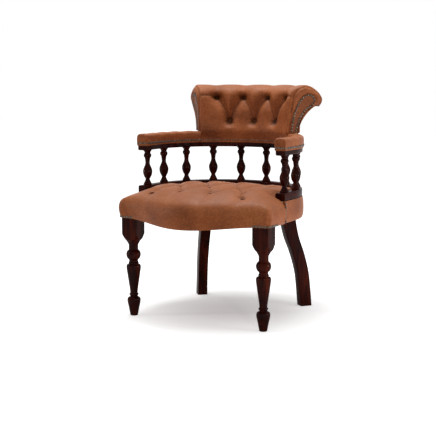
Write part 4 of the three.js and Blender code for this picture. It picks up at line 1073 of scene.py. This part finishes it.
def make_facing(name, side):
    front = FRONT_LINE - FRONT_NORMAL * end_rounding()[:, None]
    rear = REAR_LINE - normals_2d(REAR_LINE) * (LAP + 0.3 * MM)
    face = np.vstack([front[:-3], rear[2:]])
    twin = panel_twin(len(front) - 3, len(rear) - 2)
    margin = np.linalg.norm(twin - face, axis=1)
    high = np.minimum(END_SWELL, SWELL_SHARE * margin)
    lines, lifts = [face], [-6 * MM]
    for share in np.linspace(0, 1, 15):
        rise = np.sqrt(1 - (1 - min(share / SWELL_SHARE, 1)) ** 2)
        fall = 0.5 + 0.5 * math.cos(math.pi * max(share - SWELL_SHARE, 0) / (1 - SWELL_SHARE))
        lines.append(face + (twin - face) * (0.01 + 0.99 * share))
        lifts.append(np.where(share < SWELL_SHARE, high * rise, GROOVE + (high - GROOVE) * fall))
    lines.append(twin + (twin.mean(axis=0) - twin) * 0.25)
    lifts.append(GROOVE)
    under = make_leather(f"scroll_end_{name}", end_plate(lines, lifts, side),
                         [f"back_facing_{name}"], 60)
    inward = -normals_2d(PANEL_LINE)
    insets = [0, 0, 0.8 * MM, 2.5 * MM]
    lifts = [GROOVE - MM, PANEL_LIFT - 0.8 * MM, PANEL_LIFT, PANEL_LIFT]
    plate = end_plate([PANEL_LINE + inward * inset for inset in insets], lifts, side)
    panel = make_leather(f"scroll_panel_{name}", plate, (), 50, np.full(len(plate[0]), PANEL_SHADE))


for name, side in SIDES:
    make_facing(name, side)


# Nail rows: each is a line of points with the way that its heads face
NAIL_INSET = 5 * MM
NAIL_SINK = 0.4 * MM


def arm_row():
    """Back to front outside the arm, round its front end, and to the back again inside it."""
    outer = BOW_RADIUS + BOW_WIDTH / 2 + LAP + CLEAR
    inner = 2 * BOW_RADIUS - outer
    front = BOW_FRONT - 4 * MM
    stations = arm_stations(front + 12 * MM, JOINT_ANGLE - NAIL_INSET / BOW_RADIUS, 60)
    row = [(s.point(outer - NAIL_SINK, NAIL_LINE), s.out) for s in stations[::-1]]
    row += [(np.array([outer - d, front + NAIL_SINK, NAIL_LINE]), np.array([0, -1, 0]))
            for d in np.linspace(6 * MM, outer - inner - 6 * MM, 12)]
    return row + [(s.point(inner + NAIL_SINK, NAIL_LINE), -s.out) for s in stations]


def nail_rows():
    loop = (PANEL_LINE - normals_2d(PANEL_LINE) * NAIL_INSET)[2:-2]
    panel = [(facing_place(p, PANEL_LIFT, 1), JOINT_NORMAL) for p in loop]
    outline = seat_outline(0.07 * PAD_ROLL)[::-1]
    seat_edge = [(np.array([*point, PAD_LOW + NAIL_INSET]), np.array([*out, 0]))
                 for point, out in zip(outline, normals_2d(outline))
                 if point[0] > LEG_X - LEG_HALF + 7 * MM and point[1] < LEG_Y + LEG_HALF]
    seam = [(np.array([SEAT_SIDE + 5 * MM, BOW_FRONT, z]), np.array([1, 0, 0]))
            for z in np.linspace(PAD_LOW + 8 * MM, LOWER_LOW.z - 8 * MM, 10)]
    rows = []
    for side in (1, -1):
        flip = np.array([side, 1, 1])
        rows += [[(p * flip, d * flip) for p, d in row] for row in (arm_row(), panel, seat_edge, seam)]
    inside = [arc_station(a) for a in np.linspace(JOINT_ANGLE + 0.02, math.pi - JOINT_ANGLE - 0.02, 90)]
    front_radius = np.interp(NAIL_LINE, FRONT_LINE[:30, 1], FRONT_LINE[:30, 0])
    rows.append([(s.point(front_radius, NAIL_LINE), -s.out) for s in inside])
    rows.append([(s.point(BOW_RADIUS + LAP_REACH, NAIL_LINE), s.out) for s in inside])
    return rows


def nail_tree():
    """Puts a domed nail head at even steps along each row, facing the way the row says."""
    group = bpy.data.node_groups.new("nail_rows", "GeometryNodeTree")
    face = group.interface
    face.new_socket("Rows", in_out="INPUT", socket_type="NodeSocketGeometry")
    for title in ("Spacing", "Head radius", "Head height"):
        face.new_socket(title, in_out="INPUT", socket_type="NodeSocketFloat")
    face.new_socket("Metal", in_out="INPUT", socket_type="NodeSocketMaterial")
    face.new_socket("Nails", in_out="OUTPUT", socket_type="NodeSocketGeometry")
    tree = Tree(group)
    given = tree.nodes.new("NodeGroupInput").outputs
    curve = tree.add("GeometryNodeMeshToCurve", Mesh=given["Rows"])
    even = tree.nodes.new("GeometryNodeResampleCurve")
    even.mode = "LENGTH"
    tree.feed_all(even, {"Curve": curve.outputs["Curve"], "Length": given["Spacing"]})
    facing = tree.nodes.new("GeometryNodeInputNamedAttribute")
    facing.data_type = "FLOAT_VECTOR"
    facing.inputs["Name"].default_value = "facing"
    turn = tree.nodes.new("FunctionNodeAlignRotationToVector")
    turn.axis = "Z"
    tree.feed(turn.inputs["Vector"], facing.outputs["Attribute"])
    head = tree.add("GeometryNodeMeshUVSphere", Segments=10, Rings=6)
    size = tree.add("ShaderNodeCombineXYZ", X=given["Head radius"], Y=given["Head radius"],
                    Z=given["Head height"])
    squash = tree.add("GeometryNodeTransform", Geometry=head.outputs["Mesh"], Scale=size.outputs["Vector"])
    heads = tree.add("GeometryNodeInstanceOnPoints", Points=even.outputs["Curve"],
                     Instance=squash.outputs["Geometry"], Rotation=turn.outputs["Rotation"])
    real = tree.add("GeometryNodeRealizeInstances", Geometry=heads.outputs["Instances"])
    smooth = tree.add("GeometryNodeSetShadeSmooth", Geometry=real.outputs["Geometry"])
    metal = tree.add("GeometryNodeSetMaterial", Geometry=smooth.outputs["Geometry"],
                     Material=given["Metal"])
    tree.add("NodeGroupOutput", Nails=metal.outputs["Geometry"])
    return group


def make_nails():
    points, edges, facings = [], [], []
    for row in nail_rows():
        start = len(points)
        points += [tuple(p) for p, _ in row]
        facings += [tuple(d) for _, d in row]
        edges += [(i, i + 1) for i in range(start, len(points) - 1)]
    mesh = bpy.data.meshes.new("nail_paths")
    mesh.from_pydata(points, edges, [])
    attribute = mesh.attributes.new("facing", "FLOAT_VECTOR", "POINT")
    attribute.data.foreach_set("vector", np.ravel(facings))
    paths = add_object("nail_paths", mesh)
    nails = paths.modifiers.new("nails", "NODES")
    nails.node_group = nail_tree()
    values = {"Spacing": NAIL_SPACING, "Head radius": NAIL_RADIUS, "Head height": NAIL_HEIGHT,
              "Metal": NAIL}
    for item in nails.node_group.interface.items_tree:
        if item.in_out == "INPUT" and item.name in values:
            nails[item.identifier] = values[item.name]
    graph = bpy.context.evaluated_depsgraph_get()
    result = bpy.data.meshes.new_from_object(paths.evaluated_get(graph))
    bpy.data.objects.remove(paths)
    result.materials.clear()
    result.materials.append(NAIL)
    piece = add_object("dome_nails", result)
    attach(piece, "root")


make_nails()


# Studio
FLOOR_REACH = 12
FLOOR_GREY = 0.80
# The floor's glow is least at GLOW_CENTRE and reaches white at GLOW_REACH: a painted pool of shadow round
# the chair.
GLOW_CENTRE = (0.0, 0.04, 0)
GLOW_REACH = 0.78
LEAST_GLOW = 0.27
SKY_LIGHT = 0.22


def background_ray(tree):
    """One for the rays that show the background: the camera's, and those of shine and glass."""
    rays = tree.nodes.new("ShaderNodeLightPath").outputs
    mirrored = tree.math("MAXIMUM", rays["Is Glossy Ray"], rays["Is Transmission Ray"])
    return tree.math("MAXIMUM", rays["Is Camera Ray"], mirrored)


def make_floor():
    """A white floor that keeps the chair's shadow, and glows to plain white away from it; its glow is
    weakest near the chair, a painted pool of shadow.
    """
    mesh = bpy.data.meshes.new("studio_floor")
    corners = [(x * FLOOR_REACH, y * FLOOR_REACH, 0) for x, y in ((-1, -1), (1, -1), (1, 1), (-1, 1))]
    mesh.from_pydata(corners, [], [(0, 1, 2, 3)])
    look = Look("white_floor")
    look.nodes.clear()
    matte = look.add("ShaderNodeBsdfDiffuse", Color=(FLOOR_GREY, FLOOR_GREY, FLOOR_GREY))
    away = look.nodes.new("ShaderNodeVectorMath")
    away.operation = "DISTANCE"
    away.inputs[1].default_value = GLOW_CENTRE
    look.feed(away.inputs[0], look.place())
    # Painted shadow: the glow rises from LEAST_GLOW under the chair to full white away from it.
    rise = look.nodes.new("ShaderNodeMapRange")
    rise.interpolation_type = "SMOOTHSTEP"
    look.feed_all(rise, {"From Min": 0.0, "From Max": GLOW_REACH, "To Min": LEAST_GLOW, "To Max": 1.0,
                         "Value": away.outputs["Value"]})
    shown = look.math("MULTIPLY", background_ray(look), rise.outputs["Result"])
    glow = look.add("ShaderNodeEmission", Strength=shown)
    both = look.nodes.new("ShaderNodeAddShader")
    look.feed(both.inputs[0], matte.outputs["BSDF"])
    look.feed(both.inputs[1], glow.outputs["Emission"])
    look.add("ShaderNodeOutputMaterial", Surface=both.outputs["Shader"])
    mesh.materials.append(look.material)
    floor = add_object("studio_floor", mesh)


def make_world():
    """Plain white where it shows, and a weaker white light elsewhere."""
    world = bpy.data.worlds.new("studio")
    bpy.context.scene.world = world
    world.use_nodes = True
    tree = Tree(world.node_tree)
    tree.feed_all(tree.nodes["Background"], {
        "Color": (1, 1, 1), "Strength": tree.span(background_ray(tree), SKY_LIGHT, 1.0)})


def make_lamp(name, place, target, size, power, height=None):
    data = bpy.data.lights.new(name, "AREA")
    data.shape = "RECTANGLE"
    data.size = size
    data.size_y = height or size
    data.energy = power
    lamp = add_object(name, data)
    lamp.location = place
    lamp.rotation_euler = (Vector(target) - Vector(place)).to_track_quat("-Z", "Y").to_euler()


def make_camera():
    data = bpy.data.cameras.new("view")
    data.sensor_width = CAMERA_SENSOR
    data.lens = CAMERA_LENS
    camera = add_object("view", data)
    camera.location = CAMERA_PLACE
    camera.rotation_euler = (-CAMERA_BACK).to_track_quat("-Z", "Y").to_euler()
    bpy.context.scene.camera = camera


make_floor()
make_world()
make_lamp("overhead_soft", (0, 0.05, 2.6), (0, 0, 0.4), 1.3, 21)
make_lamp("overhead_key", (-0.35, 0.2, 2.6), (0, 0, 0.4), 0.6, 23)
make_lamp("softbox_left", (-2.2, -1.5, 0.75), (0, 0, 0.55), 0.14, 11, 0.5)
make_lamp("softbox_right", (1.8, -2.0, 0.75), (0, 0, 0.55), 0.12, 7, 0.5)
make_lamp("side_window", (2.2, 0.1, 0.52), (0, 0, 0.5), 0.9, 17, 0.3)
make_camera()
bpy.context.scene.view_settings.view_transform = "Standard"
